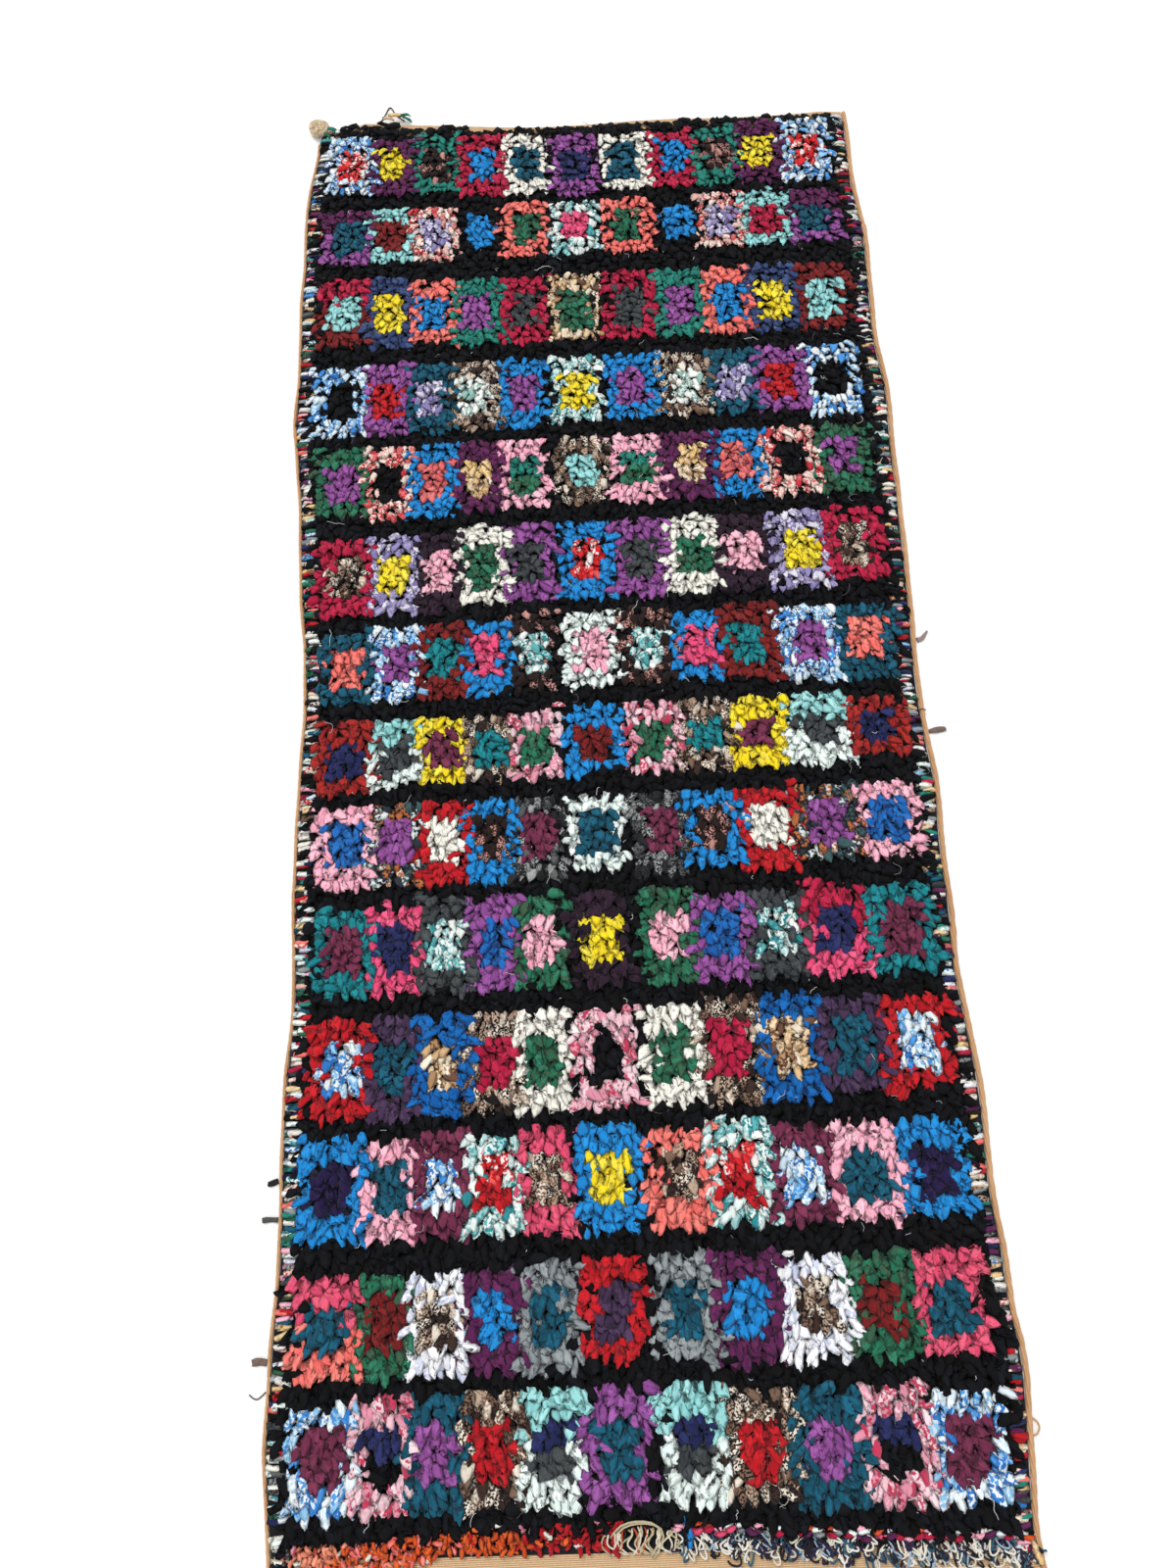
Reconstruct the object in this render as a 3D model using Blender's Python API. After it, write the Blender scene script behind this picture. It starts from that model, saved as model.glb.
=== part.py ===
"""A boucherouite rug: a cotton ground with a thick pile of tied rag strips, lying flat.

Metres, +Z up. The origin is on the underside, in the middle of the rug. +Y runs along the
length towards the head end, where the corner knot is, and +X towards the right-hand side.
"""

import math
import random

import bmesh
import bpy

# Driving dimensions
CORD_RADIUS = {"left": 0.0035, "right": 0.005}
CORD_GAP = 0.0008  # between the rug's side and the cord along it
HEM_HEIGHT = 0.006  # woven ground with the rag weft turned round it
PILE_HEIGHT = 0.021
PILE_SWELL = 0.0015  # how uneven the top of the pile is
COLUMNS, ROWS = 18, 62  # faces across and along the rug's top
PILE_SEED = 7

KNOT_CENTRE = (-0.606, 1.490)
KNOT_RADIUS = 0.024
KNOT_HEIGHT = 0.022
KNOT_CLEARANCE = 0.0025  # from the knot to the ground that is cut away round it
KNOT_CORD_GAP = 0.0005
KNOT_FLOOR_GAP = 0.0005

TIE_THICKNESS = 0.0025
TIE_LIFT = 0.0006  # a tie's underside above the floor
TIE_GAP = 0.0004  # from a tie's root to the cord
THREAD_LIFT = 0.0004

# The outer side of each edge cord along the length.
SIDE_COLUMNS = ("y", "left", "right")
SIDES = (
    (-1.52, -0.620, 0.634),
    (-1.45, -0.620, 0.630),
    (-1.37, -0.628, 0.636),
    (-1.28, -0.634, 0.644),
    (-1.19, -0.630, 0.649),
    (-1.11, -0.628, 0.640),
    (-1.02, -0.620, 0.640),
    (-0.92, -0.619, 0.633),
    (-0.80, -0.620, 0.639),
    (-0.69, -0.618, 0.636),
    (-0.55, -0.607, 0.625),
    (-0.42, -0.612, 0.630),
    (-0.30, -0.613, 0.629),
    (-0.20, -0.611, 0.636),
    (-0.10, -0.608, 0.629),
    (0.02, -0.603, 0.625),
    (0.15, -0.606, 0.630),
    (0.28, -0.618, 0.635),
    (0.42, -0.623, 0.638),
    (0.52, -0.628, 0.640),
    (0.62, -0.638, 0.642),
    (0.70, -0.643, 0.647),
    (0.82, -0.636, 0.636),
    (0.98, -0.638, 0.640),
    (1.12, -0.632, 0.644),
    (1.25, -0.632, 0.632),
    (1.34, -0.621, 0.633),
    (1.42, -0.609, 0.634),
    (1.52, -0.606, 0.632),
)

# The two ends of the ground across the width.
END_COLUMNS = ("x", "foot", "head")
ENDS = (
    (-0.62, -1.474, 1.489),
    (-0.48, -1.477, 1.502),
    (-0.38, -1.479, 1.504),
    (-0.25, -1.482, 1.488),
    (-0.06, -1.486, 1.466),
    (0.12, -1.490, 1.472),
    (0.26, -1.494, 1.465),
    (0.44, -1.500, 1.471),
    (0.62, -1.508, 1.466),
)

# How much of the pile's height is reached at a distance in from a side or an end.
RISE_COLUMNS = ("inset", "side", "head", "foot")
RISES = (
    (0.000, 0.00, 0.20, 0.00),
    (0.012, 0.20, 0.70, 0.05),
    (0.026, 0.60, 0.90, 0.45),
    (0.045, 0.90, 1.00, 0.60),
    (0.075, 1.00, 1.00, 1.00),
)

# Free ends of rag weft. Each leaves the edge cord at y, and its bend and its tip are given as
# (distance out from the cord, shift along the cord).
TIES = (
    {"name": "tie_right_upper", "side": "right", "y": 0.114, "bend": (0.013, 0.004), "tip": (0.025, 0.019),
     "root_width": 0.010, "bend_width": 0.008, "tip_width": 0.003, "colour": (0.20, 0.12, 0.07)},
    {"name": "tie_right_lower", "side": "right", "y": -0.081, "bend": (0.018, 0.003), "tip": (0.036, 0.004),
     "root_width": 0.006, "bend_width": 0.012, "tip_width": 0.006, "colour": (0.28, 0.21, 0.17)},
    {"name": "tie_left_black", "side": "left", "y": -0.862, "bend": (0.010, -0.003), "tip": (0.020, -0.006),
     "root_width": 0.009, "bend_width": 0.010, "tip_width": 0.008, "colour": (0.03, 0.03, 0.03)},
    {"name": "tie_left_grey", "side": "left", "y": -0.927, "bend": (0.015, 0.001), "tip": (0.029, 0.000),
     "root_width": 0.008, "bend_width": 0.008, "tip_width": 0.009, "colour": (0.10, 0.10, 0.09)},
    {"name": "tie_left_brown", "side": "left", "y": -1.154, "bend": (0.013, 0.002), "tip": (0.027, 0.001),
     "root_width": 0.010, "bend_width": 0.012, "tip_width": 0.011, "colour": (0.22, 0.17, 0.13)},
)

# The loose thread past the left side, as (distance out from the cord, y), and the one past the
# head end, as (x, distance out from the ground's end).
SIDE_THREAD = {"name": "thread_left", "radius": 0.0011, "colour": (0.06, 0.05, 0.05)}
SIDE_THREAD_ROUTE = ((0.0008, -1.199), (0.006, -1.204), (0.014, -1.2095), (0.021, -1.208), (0.029, -1.202))
HEAD_THREAD = {"name": "thread_loop", "radius": 0.0015, "colour": (0.09, 0.04, 0.03)}
HEAD_THREAD_ROUTE = (
    (-0.470, 0.0025), (-0.458, 0.0105), (-0.450, 0.0265), (-0.4435, 0.0425), (-0.439, 0.0475),
    (-0.434, 0.0420), (-0.427, 0.0275), (-0.418, 0.0160), (-0.404, 0.0035),
)


def clear_scene():
    for obj in list(bpy.data.objects):
        bpy.data.objects.remove(obj)


def collection_for_rug():
    collection = bpy.data.collections.new("boucherouite_rug")
    bpy.context.scene.collection.children.link(collection)
    return collection


def cloth_material(name, colour, roughness=0.9):
    material = bpy.data.materials.new(name)
    material.use_nodes = True
    shader = material.node_tree.nodes["Principled BSDF"]
    shader.inputs["Base Color"].default_value = (*colour, 1.0)
    shader.inputs["Roughness"].default_value = roughness
    shader.inputs["Metallic"].default_value = 0.0
    return material


def read(table, columns, name, at):
    """The value of one column at a place in the first column, on a smooth curve through the rows."""
    column = columns.index(name)
    places = [row[0] for row in table]
    values = [row[column] for row in table]
    at = min(max(at, places[0]), places[-1])
    i = max(0, min(len(places) - 2, sum(place <= at for place in places) - 1))
    span = places[i + 1] - places[i]
    share = (at - places[i]) / span

    def slope(k):
        low, high = max(k - 1, 0), min(k + 1, len(places) - 1)
        return (values[high] - values[low]) / (places[high] - places[low]) * span

    square, cube = share**2, share**3
    return (
        (2 * cube - 3 * square + 1) * values[i]
        + (cube - 2 * square + share) * slope(i)
        + (3 * square - 2 * cube) * values[i + 1]
        + (cube - square) * slope(i + 1)
    )


def cord_outside(side, y):
    return read(SIDES, SIDE_COLUMNS, side, y)


def rug_side(side, y):
    """The rug's own side: inside the edge cord, and round the corner knot at the top left."""
    inward = 1 if side == "left" else -1
    x = cord_outside(side, y) + inward * (2 * CORD_RADIUS[side] + CORD_GAP)
    knot_x, knot_y = KNOT_CENTRE
    reach = KNOT_RADIUS + KNOT_CLEARANCE
    if side == "left" and abs(y - knot_y) < reach:
        x = max(x, knot_x + math.sqrt(reach**2 - (y - knot_y) ** 2))
    return x


def stations(count, length):
    """Distances from 0 to length: close together at both ends, where the pile rises, and even between."""
    ends = [row[0] for row in RISES]
    middle = count - 2 * (len(ends) - 1)
    step = (length - 2 * ends[-1]) / middle
    even = [ends[-1] + step * i for i in range(1, middle)]
    return ends + even + [length - end for end in reversed(ends)]


def pile_height(inset_side, inset_head, inset_foot):
    rise = 1.0
    for name, inset in (("side", inset_side), ("head", inset_head), ("foot", inset_foot)):
        rise *= min(1.0, max(0.0, read(RISES, RISE_COLUMNS, name, inset)))
    return HEM_HEIGHT + (PILE_HEIGHT - HEM_HEIGHT) * rise


def row_heights(x):
    """The y of each row of the rug's grid at one place across the width."""
    foot = read(ENDS, END_COLUMNS, "foot", x)
    head = read(ENDS, END_COLUMNS, "head", x)
    return [foot + along for along in stations(ROWS, head - foot)]


def make_rug():
    """The ground and its pile as one flat body: a grid bent to the outline, then given its underside."""
    uneven = random.Random(PILE_SEED)
    middle_left, middle_right = cord_outside("left", 0.0), cord_outside("right", 0.0)
    bm = bmesh.new()
    bmesh.ops.create_grid(bm, x_segments=COLUMNS, y_segments=ROWS, size=0.5)
    for vert in bm.verts:
        row, column = round((vert.co.y + 0.5) * ROWS), round((vert.co.x + 0.5) * COLUMNS)
        rough_x = middle_left + (middle_right - middle_left) * column / COLUMNS
        y = row_heights(rough_x)[row]
        left, right = rug_side("left", y), rug_side("right", y)
        inset = stations(COLUMNS, right - left)[column]
        side_inset = min(inset, right - left - inset)
        head, foot = read(ENDS, END_COLUMNS, "head", rough_x), read(ENDS, END_COLUMNS, "foot", rough_x)
        height = pile_height(side_inset, head - y, y - foot)
        inside = 0 < row < ROWS and 0 < column < COLUMNS
        vert.co = (left + inset, y, height + (uneven.uniform(-PILE_SWELL, PILE_SWELL) if inside else 0.0))
    under = bm.faces[:]
    bmesh.ops.extrude_face_region(bm, geom=under, use_keep_orig=True)
    for face in under:
        for vert in face.verts:
            vert.co.z = 0.0
    bmesh.ops.dissolve_faces(bm, faces=under, use_verts=False)
    bmesh.ops.recalc_face_normals(bm, faces=bm.faces)
    mesh = bpy.data.meshes.new("rug")
    bm.to_mesh(mesh)
    bm.free()
    rug = bpy.data.objects.new("rug", mesh)
    rug.data.materials.append(cloth_material("rag_pile", (0.03, 0.03, 0.035)))
    return rug


def tube(name, points, radius, colour):
    """A tube along points of (x, y, z), with its ends closed."""
    curve = bpy.data.curves.new(name, "CURVE")
    curve.dimensions = "3D"
    curve.bevel_depth = radius
    curve.bevel_resolution = 2
    curve.use_fill_caps = True
    spline = curve.splines.new("POLY")
    spline.points.add(len(points) - 1)
    for point, place in zip(spline.points, points):
        point.co = (*place, 1.0)
    obj = bpy.data.objects.new(name, curve)
    obj.data.materials.append(cloth_material(name + "_cotton", colour))
    return obj


def make_edge_cord(side):
    """The stranded cotton cord along one side, lying on the floor beside the ground's edge."""
    radius = CORD_RADIUS[side]
    outward = -1 if side == "left" else 1
    rows = row_heights(cord_outside(side, 0.0))
    if side == "left":
        stop = KNOT_CENTRE[1] - KNOT_RADIUS - KNOT_CORD_GAP
        rows = [y for y in rows if y < stop - radius] + [stop]
    points = [(cord_outside(side, y) - outward * radius, y, radius) for y in rows]
    return tube("edge_cord_" + side, points, radius, (0.62, 0.42, 0.25))


def make_corner_knot():
    """The cloth-wrapped knot of warp ends at the top left corner, flat where it lies."""
    bm = bmesh.new()
    bmesh.ops.create_uvsphere(bm, u_segments=20, v_segments=10, radius=1.0)
    for vert in bm.verts:
        x, y, z = vert.co
        fold = 1.0 - 0.06 * (0.5 + 0.5 * math.sin(3 * math.atan2(y, x))) * (1 - z * z)
        vert.co = (
            KNOT_CENTRE[0] + KNOT_RADIUS * x * fold,
            KNOT_CENTRE[1] + KNOT_RADIUS * y * fold,
            max(KNOT_FLOOR_GAP, KNOT_HEIGHT / 2 * (1 + z)),
        )
    mesh = bpy.data.meshes.new("corner_knot")
    bm.to_mesh(mesh)
    bm.free()
    mesh.shade_smooth()
    knot = bpy.data.objects.new("corner_knot", mesh)
    knot.data.materials.append(cloth_material("knot_calico", (0.62, 0.50, 0.36)))
    return knot


def make_tie(row):
    """A flat rag end: an outline that follows root, bend and tip at their widths, given a thickness."""
    outward = -1 if row["side"] == "left" else 1
    cord = cord_outside(row["side"], row["y"])
    lean = math.atan2(row["bend"][1], row["bend"][0])
    root_out = TIE_GAP + row["root_width"] / 2 * abs(math.sin(lean))
    offsets = [(root_out, 0.0), row["bend"], row["tip"]]
    middle = [(cord + outward * out, row["y"] + shift) for out, shift in offsets]
    widths = [row["root_width"], row["bend_width"], row["tip_width"]]
    near, far = [], []
    for i, ((x, y), width) in enumerate(zip(middle, widths)):
        before, after = middle[max(i - 1, 0)], middle[min(i + 1, 2)]
        along = math.atan2(after[1] - before[1], after[0] - before[0])
        across = (-math.sin(along) * width / 2, math.cos(along) * width / 2)
        near.append((x + across[0], y + across[1]))
        far.append((x - across[0], y - across[1]))
    outline = near + far[::-1]
    curve = bpy.data.curves.new(row["name"], "CURVE")
    curve.dimensions = "2D"
    curve.fill_mode = "BOTH"
    curve.extrude = TIE_THICKNESS / 2
    spline = curve.splines.new("POLY")
    spline.points.add(len(outline) - 1)
    for point, (x, y) in zip(spline.points, outline):
        point.co = (x, y, 0.0, 1.0)
    spline.use_cyclic_u = True
    tie = bpy.data.objects.new(row["name"], curve)
    tie.location.z = TIE_LIFT + TIE_THICKNESS / 2
    tie.data.materials.append(cloth_material(row["name"] + "_rag", row["colour"]))
    return tie


def make_side_thread():
    """The loose thread that lies on the floor past the left side."""
    height = SIDE_THREAD["radius"] + THREAD_LIFT
    points = [(cord_outside("left", y) - out, y, height) for out, y in SIDE_THREAD_ROUTE]
    return tube(SIDE_THREAD["name"], points, SIDE_THREAD["radius"], SIDE_THREAD["colour"])


def make_head_thread():
    """The thread that stands out past the head end as a small pointed loop, lying on the floor."""
    height = HEAD_THREAD["radius"] + THREAD_LIFT
    points = [(x, read(ENDS, END_COLUMNS, "head", x) + out, height) for x, out in HEAD_THREAD_ROUTE]
    return tube(HEAD_THREAD["name"], points, HEAD_THREAD["radius"], HEAD_THREAD["colour"])


clear_scene()
collection = collection_for_rug()
pieces = [make_rug(), make_edge_cord("left"), make_edge_cord("right"), make_corner_knot()]
pieces += [make_tie(row) for row in TIES]
pieces += [make_side_thread(), make_head_thread()]
for piece in pieces:
    collection.objects.link(piece)
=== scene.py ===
"""A boucherouite rug: rag pile tied in framed oblongs on black, on a woven cotton ground, lying flat."""

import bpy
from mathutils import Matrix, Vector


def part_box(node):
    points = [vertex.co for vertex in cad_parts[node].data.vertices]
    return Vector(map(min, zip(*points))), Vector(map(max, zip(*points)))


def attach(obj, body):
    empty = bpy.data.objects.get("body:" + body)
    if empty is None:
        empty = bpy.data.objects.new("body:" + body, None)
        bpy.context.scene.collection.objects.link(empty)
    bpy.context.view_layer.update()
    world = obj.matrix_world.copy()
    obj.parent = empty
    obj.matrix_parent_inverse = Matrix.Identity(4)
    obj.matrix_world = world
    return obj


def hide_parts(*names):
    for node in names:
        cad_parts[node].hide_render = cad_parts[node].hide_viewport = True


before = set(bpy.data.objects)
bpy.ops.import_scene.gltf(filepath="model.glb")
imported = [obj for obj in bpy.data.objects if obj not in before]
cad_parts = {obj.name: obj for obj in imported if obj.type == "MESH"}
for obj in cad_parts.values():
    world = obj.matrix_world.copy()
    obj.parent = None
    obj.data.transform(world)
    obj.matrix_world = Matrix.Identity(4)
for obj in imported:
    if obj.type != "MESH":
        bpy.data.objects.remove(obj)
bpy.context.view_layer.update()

import math

import bmesh
import bpy
import numpy as np
from mathutils import Euler, Matrix

# ---- Camera ------------------------------------------------------------------------------------
# Held by someone who stands over the foot end and looks steeply down along the rug, with the
# camera turned a little to one side.
CAMERA_PLACE = (-0.027, -0.835, 2.185)
CAMERA_DOWN, CAMERA_ROUND, CAMERA_TILT = math.radians(72.69), math.radians(-1.3), math.radians(-3.98)
LENS_MM, LONG_SIDE_MM = 27.0, 36.0

camera_data = bpy.data.cameras.new("camera")
camera_data.lens, camera_data.sensor_width = LENS_MM, LONG_SIDE_MM
camera_data.clip_start, camera_data.clip_end = 0.05, 60.0
camera = bpy.data.objects.new("camera", camera_data)
level_turn = Matrix.Rotation(-CAMERA_ROUND, 4, "Z") @ Matrix.Rotation(math.pi / 2 - CAMERA_DOWN, 4, "X")
camera.matrix_world = Matrix.Translation(CAMERA_PLACE) @ level_turn @ Matrix.Rotation(CAMERA_TILT, 4, "Z")
bpy.context.scene.collection.objects.link(camera)
bpy.context.scene.camera = camera

# ---- Floor and light ---------------------------------------------------------------------------
# A plain pale floor in even, soft light. The main light comes from beyond the head end on the
# left, so that each rag has a small shadow under its free end.
FLOOR_SIDE = 14.0


def hex_colour(code):
    """An sRGB hex colour as linear red, green and blue."""
    shares = [int(code[i : i + 2], 16) / 255 for i in (0, 2, 4)]
    return [s / 12.92 if s <= 0.04045 else ((s + 0.055) / 1.055) ** 2.4 for s in shares]


def new_material(name):
    """A new material that is made of nodes, and its shader."""
    made = bpy.data.materials.new(name)
    made.use_nodes = True
    return made, made.node_tree.nodes["Principled BSDF"]


def add_node(material, kind, settings=(), values=(), links=()):
    """One node with its settings, the values of its unlinked inputs, and its links from other nodes."""
    made = material.node_tree.nodes.new(kind)
    for name, value in dict(settings).items():
        setattr(made, name, value)
    for socket, value in dict(values).items():
        made.inputs[socket].default_value = value
    for socket, source in dict(links).items():
        material.node_tree.links.new(source, made.inputs[socket])
    return made


def join_to_shader(material, shader, colour, normal):
    material.node_tree.links.new(colour, shader.inputs["Base Color"])
    material.node_tree.links.new(normal, shader.inputs["Normal"])


bm = bmesh.new()
bmesh.ops.create_grid(bm, x_segments=1, y_segments=1, size=FLOOR_SIDE / 2)
floor_mesh = bpy.data.meshes.new("floor")
bm.to_mesh(floor_mesh)
bm.free()
floor = bpy.data.objects.new("floor", floor_mesh)
bpy.context.scene.collection.objects.link(floor)

# Matt white studio paint: pale and even, with no gloss.
white_paint, paint_shader = new_material("matt_white_paint")
paint_shader.inputs["Base Color"].default_value = (*hex_colour("f6f5f3"), 1.0)
paint_shader.inputs["Roughness"].default_value = 0.9
floor_mesh.materials.append(white_paint)

world = bpy.data.worlds.new("studio")
world.use_nodes = True
world.node_tree.nodes["Background"].inputs["Color"].default_value = (*hex_colour("f7f8fb"), 1.0)
world.node_tree.nodes["Background"].inputs["Strength"].default_value = 0.80
bpy.context.scene.world = world
bpy.context.scene.view_settings.view_transform = "Standard"

for light_name, turned, strength, spread in (
    ("key_light", (math.radians(-30), math.radians(-18), 0.0), 1.5, 24),
    ("fill_light", (math.radians(30), math.radians(28), 0.0), 0.30, 60),
):
    light_data = bpy.data.lights.new(light_name, "SUN")
    light_data.energy, light_data.angle = strength, math.radians(spread)
    light = bpy.data.objects.new(light_name, light_data)
    light.rotation_euler = Euler(turned)
    bpy.context.scene.collection.objects.link(light)

# ---- Loose threads -----------------------------------------------------------------------------
# A dark thread that has worked out past the left side near the foot, and a brown one that stands
# out of the head end as a small pointed loop. Both are spun cotton and lie on the floor.
THREADS = (
    ("thread_left", 0.0011, "bare", "2a2423",
     ((-0.6312, -1.199), (-0.6366, -1.204), (-0.6449, -1.2095), (-0.6519, -1.208), (-0.6595, -1.202)),
     0.0015),
    ("thread_loop", 0.0015, "object", "3a2119",
     ((-0.470, 1.5051), (-0.458, 1.5138), (-0.450, 1.5302), (-0.4435, 1.5465), (-0.439, 1.5517),
      (-0.434, 1.5464), (-0.427, 1.5321), (-0.418, 1.5208), (-0.404, 1.5083)), 0.0019),
)
THREAD_POINTS = 28


def smooth_route(points, count):
    """Points spaced evenly along one smooth curve through the given ones."""
    points = np.array(points, float)
    ends = np.vstack([2 * points[0] - points[1], points, 2 * points[-1] - points[-2]])
    found = []
    for i in range(len(points) - 1):
        a, b, c, d = ends[i : i + 4]
        t = np.linspace(0, 1, 24, endpoint=False)[:, None]
        found.append(0.5 * (2 * b + (c - a) * t + (2 * a - 5 * b + 4 * c - d) * t**2
                            + (3 * b - a - 3 * c + d) * t**3))
    fine = np.vstack([*found, points[-1:]])
    run = np.concatenate([[0], np.cumsum(np.linalg.norm(np.diff(fine, axis=0), axis=1))])
    even = np.linspace(0, run[-1], count)
    return np.stack([np.interp(even, run, fine[:, k]) for k in range(fine.shape[1])], axis=1)


def put_in_scene(piece, replaced=()):
    """Links a finished piece, lets it ride on the rug's one body, and hides the parts that it replaces."""
    bpy.context.scene.collection.objects.link(piece)
    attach(piece, "root")
    if replaced:
        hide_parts(*replaced)


for name, radius, far_end, code, corners, height in THREADS:
    # Spun cotton thread: dark and matt, with fine fibres.
    spun, spun_shader = new_material("spun_cotton_" + name)
    spun_place = add_node(spun, "ShaderNodeTexCoord")
    spun_noise = add_node(spun, "ShaderNodeTexNoise", values={"Scale": 900.0, "Detail": 2.0},
                          links={"Vector": spun_place.outputs["Object"]})
    spun_mix = add_node(spun, "ShaderNodeMix", {"data_type": "RGBA"},
                        {"A": (*hex_colour(code), 1.0), "B": (*hex_colour("6b5446"), 1.0)},
                        {"Factor": spun_noise.outputs["Fac"]})
    spun.node_tree.links.new(spun_mix.outputs["Result"], spun_shader.inputs["Base Color"])
    spun_shader.inputs["Roughness"].default_value = 0.85
    route = smooth_route(corners, THREAD_POINTS)
    line = bpy.data.curves.new(name, "CURVE")
    line.dimensions = "3D"
    line.bevel_depth, line.bevel_resolution, line.use_fill_caps = radius, 2, True
    spline = line.splines.new("POLY")
    spline.points.add(THREAD_POINTS - 1)
    for point, (x, y) in zip(spline.points, route):
        point.co = (x, y, height, 1.0)
    line.materials.append(spun)
    thread = bpy.data.objects.new(name + "_cotton", line)
    put_in_scene(thread, [name])

# ---- Woven ground ------------------------------------------------------------------------------
# One cloth from side to side: tan cotton warp with rag weft beaten over it, about 4 mm thick. It
# ends in a plain tan hem at the head and at the foot, and lies flat on the floor.
GROUND_THICKNESS, GROUND_LIFT = 0.0042, 0.0003
GROUND_COLUMNS, GROUND_ROWS = 44, 96

outline = {(round(v.co.x, 5), round(v.co.y, 5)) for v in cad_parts["rug"].data.vertices
           if v.co.z < 1e-4}
outline = np.array(sorted(outline, key=lambda p: math.atan2(p[1], p[0])))


def outline_between(first, last):
    """The outline's points from one corner round to the next, against the clock."""
    count = len(outline)
    return outline[[(first + i) % count for i in range((last - first) % count + 1)]]


foot_left, head_right = np.argmin(outline.sum(1)), np.argmax(outline.sum(1))
foot_right, head_left = np.argmax(outline @ (1, -1)), np.argmax(outline @ (-1, 1))
foot_edge, right_edge = outline_between(foot_left, foot_right), outline_between(foot_right, head_right)
head_edge = outline_between(head_right, head_left)[::-1]
left_edge = outline_between(head_left, foot_left)[::-1]


def side_x(edge, y):
    return np.interp(y, edge[:, 1], edge[:, 0])


def end_y(edge, x):
    return np.interp(x, edge[:, 0], edge[:, 1])


bm = bmesh.new()
bmesh.ops.create_grid(bm, x_segments=GROUND_COLUMNS, y_segments=GROUND_ROWS, size=0.5)
for vert in bm.verts:
    across, along = vert.co.x + 0.5, vert.co.y + 0.5
    rough_x = outline[:, 0].min() + across * np.ptp(outline[:, 0])
    y = end_y(foot_edge, rough_x) + along * (end_y(head_edge, rough_x) - end_y(foot_edge, rough_x))
    x = side_x(left_edge, y) + across * (side_x(right_edge, y) - side_x(left_edge, y))
    vert.co = (x, y, GROUND_LIFT)
raised = bmesh.ops.extrude_face_region(bm, geom=bm.faces[:], use_keep_orig=True)
for vert in (v for v in raised["geom"] if isinstance(v, bmesh.types.BMVert)):
    vert.co.z = GROUND_LIFT + GROUND_THICKNESS
bmesh.ops.recalc_face_normals(bm, faces=bm.faces)
hem_depth = np.ptp(outline[:, 1]) / GROUND_ROWS
for face in bm.faces:
    x, y, _ = face.calc_center_median()
    near_end = min(y - end_y(foot_edge, x), end_y(head_edge, x) - y)
    # The upper face gets the painted shade under the pile; the hems are tan cotton, the rest rag weft.
    face.material_index = 1 if near_end < hem_depth else 2 if face.normal.z > 0.5 else 0
ground_mesh = bpy.data.meshes.new("woven_ground")
bm.to_mesh(ground_mesh)
bm.free()

# Rag weft on cotton warp: mostly dark picks about 9 mm high with pale and coloured ones between,
# and rows of tan warp cords 6 mm apart that show over them. It is seen from below.
WARP_SPACING, PICK_HEIGHT, PICK_LENGTH = 0.006, 0.009, 0.030
rag_weft, weft_shader = new_material("rag_weft_on_cotton_warp")
place = add_node(rag_weft, "ShaderNodeTexCoord")
picks = add_node(rag_weft, "ShaderNodeMapping", values={"Scale": (1 / PICK_LENGTH, 1 / PICK_HEIGHT, 1.0)},
                 links={"Vector": place.outputs["Object"]})
pick_cells = add_node(rag_weft, "ShaderNodeTexVoronoi", {"feature": "F1"},
                      {"Scale": 1.0, "Randomness": 0.35},
                      {"Vector": picks.outputs["Vector"]})
pick_choice = add_node(rag_weft, "ShaderNodeSeparateColor", links={"Color": pick_cells.outputs["Color"]})
weft_colours = add_node(rag_weft, "ShaderNodeValToRGB", links={"Fac": pick_choice.outputs["Red"]})
weft_ramp = weft_colours.color_ramp
weft_ramp.interpolation = "CONSTANT"
weft_ramp.elements[1].position, weft_ramp.elements[1].color = 0.9, (*hex_colour("2d4f63"), 1.0)
weft_ramp.elements[0].color = (*hex_colour("141316"), 1.0)
for share, code in ((0.42, "26242a"), (0.58, "6d655c"), (0.66, "cfc4b2"), (0.76, "7a2b35"),
                    (0.83, "141316")):
    weft_ramp.elements.new(share).color = (*hex_colour(code), 1.0)
warp_wave = add_node(rag_weft, "ShaderNodeTexWave", {"bands_direction": "X", "wave_profile": "SIN"},
                     {"Scale": 0.31416 / WARP_SPACING, "Distortion": 0.6, "Detail": 1.0,
                      "Detail Scale": 3.0},
                     {"Vector": place.outputs["Object"]})
warp_shows = add_node(rag_weft, "ShaderNodeMapRange", values={"From Min": 0.72, "From Max": 0.86},
                      links={"Value": warp_wave.outputs["Fac"]})
weft_colour = add_node(rag_weft, "ShaderNodeMix", {"data_type": "RGBA"},
                       {"B": (*hex_colour("c9a77c"), 1.0)},
                       {"Factor": warp_shows.outputs["Result"], "A": weft_colours.outputs["Color"]})
weft_bump = add_node(rag_weft, "ShaderNodeBump", values={"Strength": 0.8, "Distance": 0.0012},
                     links={"Height": pick_cells.outputs["Distance"]})
join_to_shader(rag_weft, weft_shader, weft_colour.outputs["Result"], weft_bump.outputs["Normal"])
weft_shader.inputs["Roughness"].default_value = 0.95

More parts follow.
